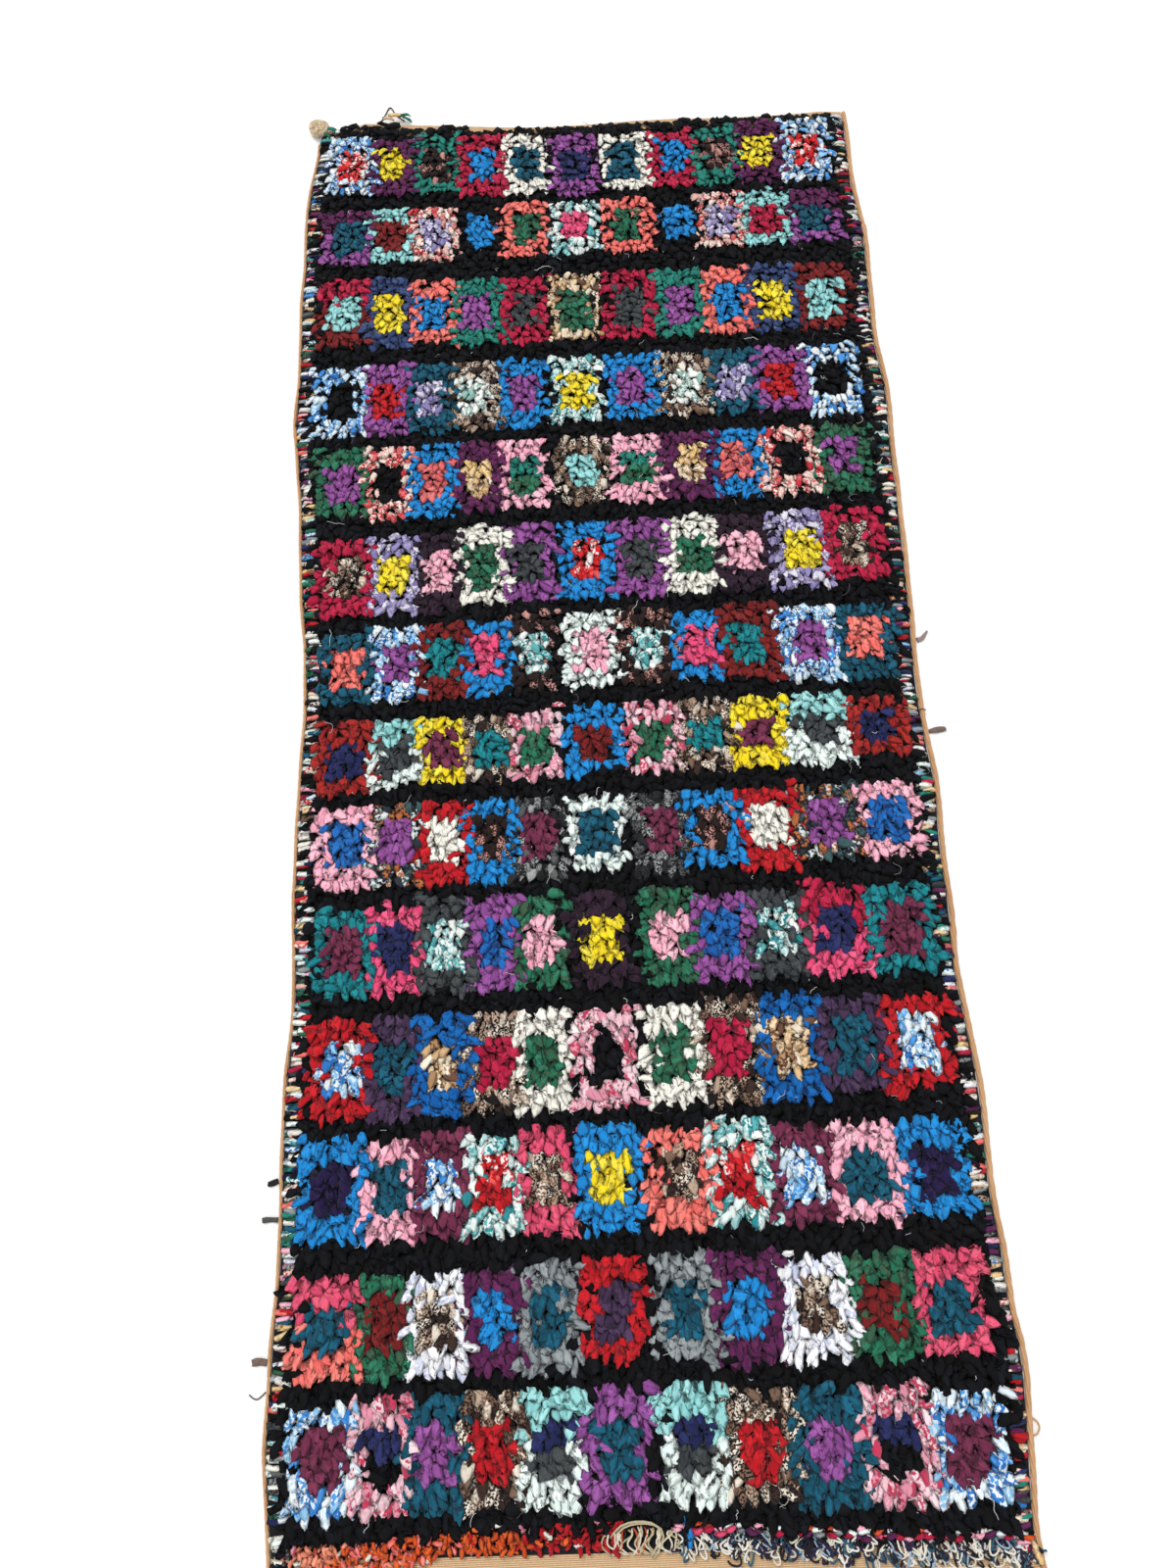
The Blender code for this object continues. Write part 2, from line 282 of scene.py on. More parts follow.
# Undyed cotton, plain woven: warm tan with fine ribs across. The ribs are drawn 3 mm apart, which
# is coarser than real ones, so that they show.
RIB_SPACING = 0.003
plain_cotton, cotton_shader = new_material("undyed_cotton_plain_weave")
place = add_node(plain_cotton, "ShaderNodeTexCoord")
ribs = add_node(plain_cotton, "ShaderNodeTexWave", {"bands_direction": "Y"},
                {"Scale": 0.31416 / RIB_SPACING, "Distortion": 1.5, "Detail": 2.0, "Detail Scale": 6.0},
                {"Vector": place.outputs["Object"]})
cotton_colour = add_node(plain_cotton, "ShaderNodeMix", {"data_type": "RGBA"},
                         {"A": (*hex_colour("a87f55"), 1.0), "B": (*hex_colour("e2c39a"), 1.0)},
                         {"Factor": ribs.outputs["Fac"]})
cotton_bump = add_node(plain_cotton, "ShaderNodeBump", values={"Strength": 0.6, "Distance": 0.0008},
                       links={"Height": ribs.outputs["Fac"]})
join_to_shader(plain_cotton, cotton_shader, cotton_colour.outputs["Result"],
               cotton_bump.outputs["Normal"])
cotton_shader.inputs["Roughness"].default_value = 0.9

# Painted shade on the upper face under the pile: a dark, matt and uneven sheet that stands for the shadow in
# the gaps between the rags.
painted_pile_shade, pile_shade_shader = new_material("painted_shade_under_pile")
place = add_node(painted_pile_shade, "ShaderNodeTexCoord")
pile_shade_cells = add_node(painted_pile_shade, "ShaderNodeTexNoise", values={"Scale": 130.0, "Detail": 3.0},
                      links={"Vector": place.outputs["Object"]})
pile_shade_colour = add_node(painted_pile_shade, "ShaderNodeMix", {"data_type": "RGBA"},
                       {"A": (*hex_colour("060607"), 1.0), "B": (*hex_colour("1d1d22"), 1.0)},
                       {"Factor": pile_shade_cells.outputs["Fac"]})
pile_shade_bump = add_node(painted_pile_shade, "ShaderNodeBump", values={"Strength": 1.0, "Distance": 0.004},
                     links={"Height": pile_shade_cells.outputs["Fac"]})
join_to_shader(painted_pile_shade, pile_shade_shader, pile_shade_colour.outputs["Result"], pile_shade_bump.outputs["Normal"])
pile_shade_shader.inputs["Roughness"].default_value = 1.0

ground_mesh.materials.append(rag_weft)
ground_mesh.materials.append(plain_cotton)
ground_mesh.materials.append(painted_pile_shade)
ground = bpy.data.objects.new("woven_ground", ground_mesh)
put_in_scene(ground, ["rug"])

# ---- Rags --------------------------------------------------------------------------------------
# The pile is cut from worn clothes: plain jersey, printed cotton, flecked knits and plush. Each
# rag is knotted through the warp and its cut end lies towards the foot, over the row before it.
# Below, each rag is named with its cloth and the colours that one cut end may show.
RAGS = {
    "black": ("black_jersey", "0c0c0e 0a0a0c 101115 0e0e10 14151b"),
    "sky_print": ("print", "eef4f6 e6f0f5 cfe3ee 8fc2e6 4a94d8 2f78c4"),
    "red_white": ("print", "d81f24 d8232a c9151d ea5a58 f6ebe4"),
    "plum": ("jersey", "5d1f4e 54194a 6a2859"),
    "sun_yellow": ("jersey", "f6dd23 f3d41b f8e448"),
    "sea_green": ("jersey", "1f8070 1c766a 288a78"),
    "flecked_brown": ("fleck", "241310 1c0f0d 2c1a16 c08a80"),
    "crimson": ("jersey", "b81a42 ab1039 c22448"),
    "azure": ("jersey", "1a88d2 1684cb 2492da"),
    "cream_white": ("jersey", "f7f4e6 fbf8ea ece8dc"),
    "petrol": ("jersey", "0e5367 0b4a5f 17607a"),
    "purple": ("jersey", "944f98 87458a a05aa4"),
    "navy": ("jersey", "222858 1b2150 2b3166"),
    "aqua": ("jersey", "98d8d6 8acfce a6e0dd"),
    "maroon": ("jersey", "7a1a1a 701616 86211f"),
    "brick": ("jersey", "a3241f b02d22 931d1e"),
    "red_cream": ("print", "f2ddd0 f2ddd0 e8b8ac c4303a d8686a"),
    "lavender": ("print", "9086b6 8a7fb2 a9a0c4 e2dcea"),
    "coral": ("jersey", "f9796e f46e66 fb887c"),
    "bottle_green": ("jersey", "1f6e50 256548 2f7a5c 3a5a42"),
    "teal_print": ("print", "f0f4ee eaf2ec dcebe6 a4d4d2 58a8a8 2f8a90"),
    "hot_pink": ("jersey", "e8507c e04472 ee6089"),
    "slate": ("jersey", "374a78 2f4170 435686"),
    "charcoal": ("jersey", "3f4446 383c3f 4a4f50"),
    "tan_print": ("print", "e6cda6 d9b384 b08a62 f2e6cf 6a4a38"),
    "red": ("jersey", "c0141f b50f1b cc2029"),
    "leopard": ("fleck", "b9a08a 7d6250 3a2720 1c1210 e6dac8"),
    "spot_white": ("print", "f2f4ec f2f4ec e4ece6 8fb8ae"),
    "tan": ("jersey", "f2cc90 ecc280 f6d8a4"),
    "pink": ("jersey", "fab4c6 f6a8bc fcc2d0"),
    "rose": ("jersey", "e04f70 d84668 e85e7a"),
    "aubergine": ("jersey", "2a1626 221120 341d31"),
    "teal": ("jersey", "128088 0c757e 1c8c94"),
    "mint_white": ("jersey", "ecf7f0 f2faf4 e0efe8"),
    "lined_white": ("print", "f4f4f8 f0f1f6 f6f6f6 c9cfe4"),
    "plum_maroon": ("jersey", "742c4a 692642 803552"),
    "pink_plush": ("plush", "f4d4da eebcc6 e08ea2 c22a50"),
    "dark_print": ("print", "2b3038 3d5a5c 1c1d22 d8e0dc b86a3a"),
    "grey_fleck": ("fleck", "5a5c5c 26272a 9a9c9a 1a1a1c"),
    "royal": ("jersey", "0862ae 0558a2 126cba"),
    "midnight": ("jersey", "201440 190f38 2a1c4c"),
    "heather": ("jersey", "46304f 3c2846 523a5b"),
    "soft_red": ("jersey", "e06a6c d8605f e87a78"),
    "grey": ("jersey", "8f9698 848b8e 9aa1a2"),
    "cobalt": ("jersey", "1c66b4 175caa 2672be"),
    "orange": ("jersey", "e2571c d24c17 ee6a2c"),
    "salmon": ("jersey", "f09070 ea8464 f4a083"),
}

# How each cloth looks up close. Jersey is matt and crumples in 5 mm creases, and in every cloth the
# creases are darkened in the colour as painted shade. The print and the flecks are blotches of a second
# colour, given here by their size in mm and by how much of the cut end they cover. Plush is soft, with a
# pale bloom. Black jersey is dull and faded in places.
CLOTHS = (
    ("jersey", 9.0, 0.45, 0.30, 0.55, 0.55, 0.05),
    ("print", 6.0, 0.52, 0.08, 0.55, 0.66, 0.05),
    ("fleck", 3.8, 0.50, 0.05, 0.60, 0.60, 0.05),
    ("plush", 6.0, 0.45, 0.16, 0.75, 0.70, 0.30),
    ("black_jersey", 10.0, 0.45, 0.30, 0.60, 0.60, 0.00),
)
CREASE_MM, KNIT_MM = (3.6, 12.0), 1.4
cloth_materials = []
for cloth, blotch_mm, cover, edge, crease, crease_shade, bloom in CLOTHS:
    cut_rag, rag_shader = new_material("cut_rag_" + cloth)
    cloth_map = add_node(cut_rag, "ShaderNodeUVMap", {"uv_map": "cloth"})
    main_colour = add_node(cut_rag, "ShaderNodeVertexColor", {"layer_name": "rag_colour"})
    second_colour = add_node(cut_rag, "ShaderNodeVertexColor", {"layer_name": "blotch_colour"})
    blotches = add_node(cut_rag, "ShaderNodeTexNoise", {"noise_dimensions": "2D"},
                        {"Scale": 1000 / blotch_mm, "Detail": 1.0, "Roughness": 0.4},
                        {"Vector": cloth_map.outputs["UV"]})
    in_blotch = add_node(cut_rag, "ShaderNodeMapRange",
                         values={"From Min": 1 - cover - edge / 2, "From Max": 1 - cover + edge / 2},
                         links={"Value": blotches.outputs["Fac"]})
    printed = add_node(cut_rag, "ShaderNodeMix", {"data_type": "RGBA"},
                       links={"Factor": in_blotch.outputs["Result"], "A": main_colour.outputs["Color"],
                              "B": second_colour.outputs["Color"]})
    crease_place = add_node(cut_rag, "ShaderNodeMapping",
                            values={"Scale": (1000 / CREASE_MM[0], 1000 / CREASE_MM[1], 1.0)},
                            links={"Vector": cloth_map.outputs["UV"]})
    creases = add_node(cut_rag, "ShaderNodeTexNoise", {"noise_dimensions": "2D"},
                       {"Scale": 1.0, "Detail": 2.0, "Roughness": 0.55, "Distortion": 0.5},
                       {"Vector": crease_place.outputs["Vector"]})
    # Painted shade: the colour is darkened in the creases, down to crease_shade of itself.
    in_crease = add_node(cut_rag, "ShaderNodeMapRange", values={"From Min": 0.30, "From Max": 0.46},
                         links={"Value": creases.outputs["Fac"]})
    shaded = add_node(cut_rag, "ShaderNodeMapRange", values={"To Min": crease_shade, "To Max": 1.0},
                      links={"Value": in_crease.outputs["Result"]})
    crease_shaded_colour = add_node(cut_rag, "ShaderNodeVectorMath", {"operation": "SCALE"},
                    links={"Vector": printed.outputs["Result"], "Scale": shaded.outputs["Result"]})
    knit = add_node(cut_rag, "ShaderNodeTexNoise", {"noise_dimensions": "2D"},
                    {"Scale": 1000 / KNIT_MM, "Detail": 1.0}, {"Vector": cloth_map.outputs["UV"]})
    crease_bump = add_node(cut_rag, "ShaderNodeBump", values={"Strength": crease, "Distance": 0.004},
                           links={"Height": creases.outputs["Fac"]})
    knit_bump = add_node(cut_rag, "ShaderNodeBump", values={"Strength": 0.35, "Distance": 0.0006},
                         links={"Height": knit.outputs["Fac"], "Normal": crease_bump.outputs["Normal"]})
    join_to_shader(cut_rag, rag_shader, crease_shaded_colour.outputs["Vector"], knit_bump.outputs["Normal"])
    rag_shader.inputs["Roughness"].default_value = 0.95
    rag_shader.inputs["Specular IOR Level"].default_value = 0.2
    rag_shader.inputs["Sheen Weight"].default_value = bloom
    rag_shader.inputs["Sheen Roughness"].default_value = 0.6
    cloth_materials.append(cut_rag)
CLOTH_NUMBER = {row[0]: i for i, row in enumerate(CLOTHS)}

rng = np.random.default_rng(20)


def rag_shape(reach, half_widths, heights, puff, shift=0.0, columns=3, unevenness=0.0016):
    """One cut end of rag as a closed pad, from its knot at the origin towards -Y. Sizes in metres."""
    rows = len(reach) - 1
    folds = rng.permutation(np.linspace(0.25, 1.6, columns + 1))
    bm = bmesh.new()
    bmesh.ops.create_grid(bm, x_segments=columns, y_segments=rows, size=0.5)
    corner = {}
    for vert in bm.verts:
        row, column = round((vert.co.y + 0.5) * rows), round((vert.co.x + 0.5) * columns)
        corner[row, column] = vert
        inside = 0 < row < rows and 0 < column < columns
        across = column / columns * 2 - 1
        rise = puff * folds[column] * rng.uniform(0.7,
                                                  1.3) if inside else rng.normal(0, unevenness / 2) * (row > 0)
        vert.co = (
            across * half_widths[row] + shift * row / rows + rng.normal(0, unevenness / 2),
            -reach[row] + rng.normal(0, unevenness) * (row > 0),
            heights[row] + rise,
        )
    for row in range(rows):
        left, right = [corner[row, 0], corner[row + 1, 0]], [corner[row + 1, columns],
                                                             corner[row, columns]]
        far = [corner[row + 1, c] for c in range(1, columns)] if row + 1 == rows else []
        near = [corner[row, c] for c in range(columns - 1, 0, -1)] if row == 0 else []
        bm.faces.new(left + far + right + near)
    bmesh.ops.recalc_face_normals(bm, faces=bm.faces)
    bm.verts.index_update()
    points = np.array([v.co[:] for v in bm.verts])
    corners = np.array([v.index for f in bm.faces for v in f.verts])
    sizes = np.array([len(f.verts) for f in bm.faces])
    bm.free()
    return points, corners, sizes, points[:, :2].copy()


def copies(shape, places, yaw, pitch, size):
    """The points of many copies of a shape, each tipped about X, turned about Z, sized and moved."""
    points = shape[0][None] * np.asarray(size)[:, None, None]
    x, y, z = points[..., 0], points[..., 1], points[..., 2]
    tip_cos, tip_sin = np.cos(pitch)[:, None], np.sin(pitch)[:, None]
    y, z = y * tip_cos - z * tip_sin, y * tip_sin + z * tip_cos
    turn_cos, turn_sin = np.cos(yaw)[:, None], np.sin(yaw)[:, None]
    turned = np.stack([x * turn_cos - y * turn_sin, x * turn_sin + y * turn_cos, z], axis=-1)
    return turned + places[:, None, :]


def joined_mesh(name, batches):
    """One mesh from batches of like copies: (shape, points, rag colours, blotch colours, materials)."""
    points, corners, sizes, paints, blotches, finishes, cloth_places, first = [], [], [], [], [], [], [], 0
    for shape, copied, colours, seconds, numbers in batches:
        count, each = copied.shape[:2]
        points.append(copied.reshape(-1, 3))
        corners.append((shape[1][None] + (first + np.arange(count) * each)[:, None]).ravel())
        sizes.append(np.tile(shape[2], count))
        paints.append(np.broadcast_to(colours[:, None] if colours.ndim == 2 else colours,
                                      (count, each, 3)).reshape(-1, 3))
        blotches.append(np.broadcast_to(seconds[:, None], (count, each, 3)).reshape(-1, 3))
        finishes.append(np.repeat(numbers, len(shape[2])))
        cut_from = rng.uniform(0, 1, (count, 1, 2))
        cloth_places.append((shape[3][shape[1]][None] + cut_from).reshape(-1, 2))
        first += count * each
    points, corners, sizes = np.concatenate(points), np.concatenate(corners), np.concatenate(sizes)
    mesh = bpy.data.meshes.new(name)
    mesh.vertices.add(len(points))
    mesh.vertices.foreach_set("co", points.astype(np.float32).ravel())
    mesh.loops.add(len(corners))
    mesh.loops.foreach_set("vertex_index", corners.astype(np.int32))
    mesh.polygons.add(len(sizes))
    mesh.polygons.foreach_set("loop_start", (np.cumsum(sizes) - sizes).astype(np.int32))
    mesh.polygons.foreach_set("material_index", np.concatenate(finishes).astype(np.int32))
    mesh.update(calc_edges=True)
    for layer, values in (("rag_colour", paints), ("blotch_colour", blotches)):
        values = np.concatenate(values)
        values = np.hstack([values, np.ones((len(values), 1))])
        mesh.color_attributes.new(layer, "FLOAT_COLOR",
                                  "POINT").data.foreach_set("color", values.astype(np.float32).ravel())
    cloth_place = mesh.uv_layers.new(name="cloth")
    cloth_place.data.foreach_set("uv", np.concatenate(cloth_places).astype(np.float32).ravel())
    mesh.shade_smooth()
    return mesh


COLOUR_DRAWS = 60  # a multiple of every list's length up to 6, so that each colour is as likely


def add_rag_piece(name, batches):
    """A piece of many cut rags, in the cloth of each."""
    mesh = joined_mesh(name, batches)
    for cut_rag in cloth_materials:
        mesh.materials.append(cut_rag)
    piece = bpy.data.objects.new(name, mesh)
    put_in_scene(piece)


def cloth_numbers(names):
    return np.array([CLOTH_NUMBER[RAGS[name][0]] for name in names])


def rag_colours(names, first, second):
    """For each named rag two of its colours, by their places in its list, counted round."""
    codes = [RAGS[name][1].split() for name in names]
    return np.array([[hex_colour(c[i % len(c)]), hex_colour(c[j % len(c)])] for c, i,
                     j in zip(codes, first, second)])


# ---- Framed oblongs ----------------------------------------------------------------------------
# Fourteen rows of eleven framed oblongs, charted from the head down as frame/middle for the left
# side and the middle column. The right half mirrors the left, apart from the mismatches. Where two
# rags share a frame or a middle, the one nearer the head comes first, with a plus between.
RAG_CHART = (
    "sky_print/red_white plum/sun_yellow sea_green/flecked_brown crimson/azure cream_white/petrol "
    "purple/navy",
    "plum+purple/petrol aqua/maroon red_cream/lavender black/azure coral/bottle_green "
    "teal_print/hot_pink",
    "crimson+maroon/aqua slate/sun_yellow coral/azure sea_green/purple crimson/charcoal "
    "tan_print/bottle_green",
    "sky_print/black purple/red petrol/lavender leopard/spot_white azure/purple teal_print/sun_yellow",
    "bottle_green/purple red_cream/black azure/soft_red plum/tan+tan_print pink/sea_green+bottle_green "
    "leopard/aqua",
    "crimson/leopard lavender/sun_yellow aubergine/pink cream_white/bottle_green purple/charcoal "
    "azure/red_white",
    "petrol/coral sky_print/purple maroon/teal azure/hot_pink flecked_brown/teal_print mint_white/pink",
    "brick/navy aqua+mint_white/charcoal sun_yellow/plum_maroon leopard/teal pink_plush/bottle_green "
    "azure/maroon",
    "pink/cobalt dark_print/purple red/cream_white azure/flecked_brown grey_fleck/plum_maroon "
    "mint_white/petrol",
    "teal/plum_maroon hot_pink/navy charcoal/teal_print purple/cobalt bottle_green/pink "
    "aubergine/sun_yellow",
    "red/sky_print heather/petrol royal/tan_print leopard/crimson cream_white/bottle_green "
    "pink_plush/black",
    "azure/midnight pink/petrol plum_maroon/sky_print teal_print/red_white+red rose/leopard "
    "azure/sun_yellow",
    "rose+coral/petrol bottle_green/maroon lined_white/leopard plum/azure grey/petrol red/heather",
    "sky_print/plum_maroon pink_plush/navy+black petrol/purple leopard/red "
    "aqua+mint_white/navy+charcoal purple/petrol",
)
MISMATCHES = {(2, 10): "aqua/crimson", (3, 11): "maroon/aqua", (10, 10): "crimson+hot_pink/navy",
              (11, 9): "royal/tan_print",
              (12, 7): "coral/leopard", (13, 11): "rose/petrol"}

# Each row by where the middles of its first, sixth and eleventh oblongs lie along the rug, and by
# its height; and the columns' middles and widths across, at five of the rows and even between.
OBLONG_ROWS = (
    (1.372, 1.344, 1.354, 0.176), (1.163, 1.169, 1.159, 0.155), (0.958, 0.942, 0.943, 0.185),
    (0.731, 0.736, 0.734, 0.177), (0.529, 0.534, 0.538, 0.170), (0.310, 0.323, 0.330, 0.182),
    (0.110, 0.125, 0.118, 0.168), (-0.086, -0.068, -0.067, 0.143), (-0.261, -0.257, -0.257, 0.168),
    (-0.465, -0.458, -0.466, 0.175), (-0.678, -0.674, -0.668, 0.188), (-0.883, -0.883, -0.890, 0.177),
    (-1.104, -1.094, -1.107, 0.172), (-1.305, -1.301, -1.323, 0.179),
)
COLUMN_ROWS = (1, 4, 7, 10, 14)
COLUMN_MIDDLES = (
    (-0.524, -0.432, -0.329, -0.225, -0.120, -0.009, 0.109, 0.220, 0.319, 0.418, 0.525),
    (-0.539, -0.437, -0.344, -0.247, -0.144, -0.028, 0.091, 0.209, 0.311, 0.416, 0.524),
    (-0.514, -0.415, -0.321, -0.234, -0.142, -0.023, 0.086, 0.193, 0.293, 0.415, 0.528),
    (-0.508, -0.414, -0.323, -0.226, -0.144, -0.033, 0.095, 0.191, 0.299, 0.411, 0.526),
    (-0.534, -0.432, -0.345, -0.250, -0.151, -0.040, 0.081, 0.190, 0.308, 0.418, 0.534),
)
OBLONG_WIDTHS = (0.118, 0.108, 0.104, 0.108, 0.104, 0.112, 0.112, 0.112, 0.114, 0.122, 0.122)
MIDDLE_WIDTH, MIDDLE_HEIGHT = 0.54, 0.50
PILE_LIMITS = (0.005, 0.029)
KNOT_ACROSS, KNOT_ALONG = 0.0105, 0.0145
SIDE_BORDER = 0.026

chart_y = np.array([row[:3] for row in OBLONG_ROWS])
chart_height = np.array([row[3] for row in OBLONG_ROWS])
chart_x = np.stack([np.interp(np.arange(1, 15), COLUMN_ROWS, [row[c] for row in COLUMN_MIDDLES])
                    for c in range(11)], 1)

knot_x, knot_y = np.meshgrid(np.arange(-0.66, 0.67, KNOT_ACROSS), np.arange(-1.5, 1.55, KNOT_ALONG))
knot_row = np.broadcast_to(np.arange(len(knot_y))[:, None], knot_y.shape).ravel()
knot_x = (knot_x + (np.arange(len(knot_x)) % 2)[:, None] * KNOT_ACROSS / 2).ravel()
knot_y = knot_y.ravel()
BLACK_FOOT = ((-0.612, -1.430), (-0.462, -1.425), (-0.304, -1.415), (-0.161, -1.417), (0.060, -1.422),
              (0.217, -1.432),
              (0.373, -1.444), (0.591, -1.452))
in_pile = knot_x > side_x(left_edge, knot_y) + SIDE_BORDER
in_pile &= knot_x < side_x(right_edge, knot_y) - SIDE_BORDER
in_pile &= knot_y < end_y(head_edge, knot_x) - 0.004
in_pile &= knot_y > np.interp(knot_x, *zip(*BLACK_FOOT)) + 0.016
knot_x, knot_y, knot_row = knot_x[in_pile], knot_y[in_pile], knot_row[in_pile]

# A cut end shows about 10 mm nearer the foot than its knot, and that is where the chart is read.
seen_y = knot_y - 0.010
rows_y = np.stack([np.interp(knot_x, (-0.524, -0.027, 0.528), row) for row in chart_y], 1)
from_row = (seen_y[:, None] - rows_y) / (chart_height / 2)
row_number = np.abs(from_row).argmin(1)
up = from_row[np.arange(len(knot_x)), row_number]
from_column = (knot_x[:, None] - chart_x[row_number]) / (np.array(OBLONG_WIDTHS) / 2)
column_number = np.abs(from_column).argmin(1)
out = from_column[np.arange(len(knot_x)), column_number]
ragged = rng.uniform(-0.10, 0.10, (14, 11, 16, 4))[row_number, column_number, knot_row % 16]
left_group = (column_number < 5) & (knot_x > chart_x[row_number, 0]) & (knot_x < chart_x[row_number, 4])
right_group = (column_number > 5) & (knot_x > chart_x[row_number, 6]) & (knot_x < chart_x[row_number, 10])
in_oblong = (np.abs(up) < 0.94 + ragged[:, 0] / 2) & ((np.abs(out) < 0.90 + ragged[:, 1]) | left_group
                                                      | right_group)
in_middle = (out > -MIDDLE_WIDTH + ragged[:, 2]) & (out < MIDDLE_WIDTH
                                                    + ragged[:, 3]) & (np.abs(up) < MIDDLE_HEIGHT)

rag_names = list(RAGS)
rag_number = np.full(len(knot_x), rag_names.index("black"))
for row, line in enumerate(RAG_CHART):
    half = line.split()
    for column in range(11):
        charted = MISMATCHES.get((row + 1, column + 1), half[min(column, 10 - column)])
        here = in_oblong & (row_number == row) & (column_number == column)
        for part, spots, turning in zip(charted.split("/"), (here & ~in_middle, here & in_middle),
                                        (0.15, 0.0)):
            names = part.split("+")
            rag_number[spots & (up > turning)] = rag_names.index(names[0])
            rag_number[spots & (up <= turning)] = rag_names.index(names[-1])

# Cut ends in mm: a leaf, a squarer cut, a slanting cut, a strip, and a curled one for prints.
MM = 0.001
CUT_ENDS = (
    ("leaf", (-3, 2, 9, 17, 25), (6.0, 8.6, 9.4, 6.6, 0.8), (9, 12.5, 14.5, 16, 15), 1.1, 0),
    ("square", (-3, 2, 9, 16, 21), (6.0, 8.2, 9.0, 8.8, 7.4), (9, 12.5, 14.5, 16, 15.2), 1.1, 0),
    ("slanting", (-3, 2, 9, 17, 24), (6.0, 8.6, 9.0, 7.0, 2.6), (9, 12.5, 15, 16.5, 15.5), 1.1, 4),
    ("strip", (-3, 2, 10, 19, 27), (5.0, 6.4, 6.6, 5.6, 3.4), (9, 13, 15.2, 16.5, 15), 1.3, -3),
    ("curled", (-3, 2, 9, 16, 22), (5.0, 7.0, 7.4, 6.6, 3.6), (8, 11.5, 13.5, 14.5, 13.5), 3.0, 2),
)


def shapes_for(names, columns=3, rows=5):
    """Several uneven shapes of each named cut end."""
    found = []
    for name, reach, half_widths, heights, puff, shift in CUT_ENDS:
        keep = np.linspace(0, 4, rows).round().astype(int)
        sizes = [np.array(values)[keep] * MM for values in (reach, half_widths, heights)]
        if name in names:
            found += [rag_shape(*sizes, puff * MM, shift * MM * turn, columns)
                      for turn in (1, -1, 1, -1, 1)]
    return found


knot_x = knot_x + rng.normal(0, 0.0015, knot_x.size)
knot_y = knot_y + rng.normal(0, 0.0017, knot_y.size)


def pile_batches(spots, shapes, height_scale=1.0, spread=0.5, width=1.0):
    """Cut ends for these knots, each with a shape, a turn, a size and colours of its own."""
    choice = rng.integers(len(shapes), size=len(spots))
    batches = []
    for number, shape in enumerate(shapes):
        chosen = spots[choice == number]
        count = len(chosen)
        if not count:
            continue
        lean = np.clip(out[chosen], -1, 1) * 0.35 * (rag_number[chosen] > 0)
        yaw = rng.normal(0, spread, count) + lean
        places = np.stack([knot_x[chosen], knot_y[chosen], rng.normal(0, 0.0012, count)], 1)
        size = rng.uniform(0.86, 1.18, count) * width * np.interp(knot_y[chosen], (-1.4, 1.4), (1.06, 0.93))
        copied = copies(shape, places, yaw, rng.normal(0, 0.10, count), size)
        copied[..., 2] *= height_scale
        copied[..., 2] = np.clip(copied[..., 2], *PILE_LIMITS)
        names = [rag_names[k] for k in rag_number[chosen]]
        picked = rag_colours(names, rng.integers(COLOUR_DRAWS, size=count),
                             rng.integers(COLOUR_DRAWS, size=count))
        picked *= rng.uniform(0.88, 1.10, (count, 1, 1))
        # Painted shade: each rag's colour is darkened towards its knot, down to 0.6 where it lies low in the
        # pile.
        root_shade = np.interp(shape[0][:, 2], (0.007, 0.012), (0.6, 1.0))
        root_shaded_colours = picked[:, 0, None, :] * root_shade[None, :, None]
        batches.append((shape, copied, root_shaded_colours, picked[:, 1], cloth_numbers(names)))
    return batches


flat_ends = shapes_for(("leaf", "square", "slanting", "strip"))
curled_ends = shapes_for(("curled", "leaf", "strip"))
is_jersey = np.array([RAGS[name][0] == "jersey" for name in rag_names])[rag_number]
is_black = rag_number == 0
for row in range(14):
    here = ~is_black & (row_number == row)
    batches = pile_batches(np.flatnonzero(here & is_jersey), flat_ends)
    batches += pile_batches(np.flatnonzero(here & ~is_jersey), curled_ends)
    add_rag_piece(f"framed_row_{row + 1:02d}", batches)

# ---- Black pile --------------------------------------------------------------------------------
# Black jersey ends between the oblongs and round them, cut a little shorter than the colours, so
# that the oblongs stand up from them.
black_ends = shapes_for(("leaf", "slanting", "strip"), columns=2, rows=4)
for name, here in (("black_pile_head", knot_y > 0.1), ("black_pile_foot", knot_y <= 0.1)):
    add_rag_piece(name, pile_batches(np.flatnonzero(is_black & here), black_ends, 0.82, 0.7, 1.06))
print("knots", len(knot_x), "black", int(is_black.sum()))

# ---- Weft turns --------------------------------------------------------------------------------
# Along both sides the rag weft turns back round the outer warps, as a narrow strip of small folds
# in every colour. On the left the folds reach over the edge cord, and on the right they stop at it.
TURN_SPACING = 0.0088
TURN_RAGS = (
    "cream_white black grey red_cream pink cream_white coral sea_green black petrol mint_white navy "
    "sky_print black "
    "teal_print tan_print leopard lined_white plum crimson charcoal cream_white grey_fleck tan red "
    "bottle_green black"
).split()
turn_shapes = {
    "left": [rag_shape(np.array((-4, 6, 15, 25, 31)) * MM, np.array((5.0, 5.6, 5.4, 5.2, 3.6)) * MM,
                       np.array((9, 10.5, 10.5, 8.6, 2.2)) * MM, 2.4 * MM, 0.0, 2, 0.0010)
             for _ in range(6)],
    "right": [rag_shape(np.array((-4, 6, 15, 24, 28)) * MM, np.array((5.0, 5.4, 5.6, 5.0, 3.8)) * MM,
                        np.array((9, 10.5, 10.5, 8.0, 2.2)) * MM, 2.4 * MM, 0.0, 2, 0.0010)
              for _ in range(6)],
}
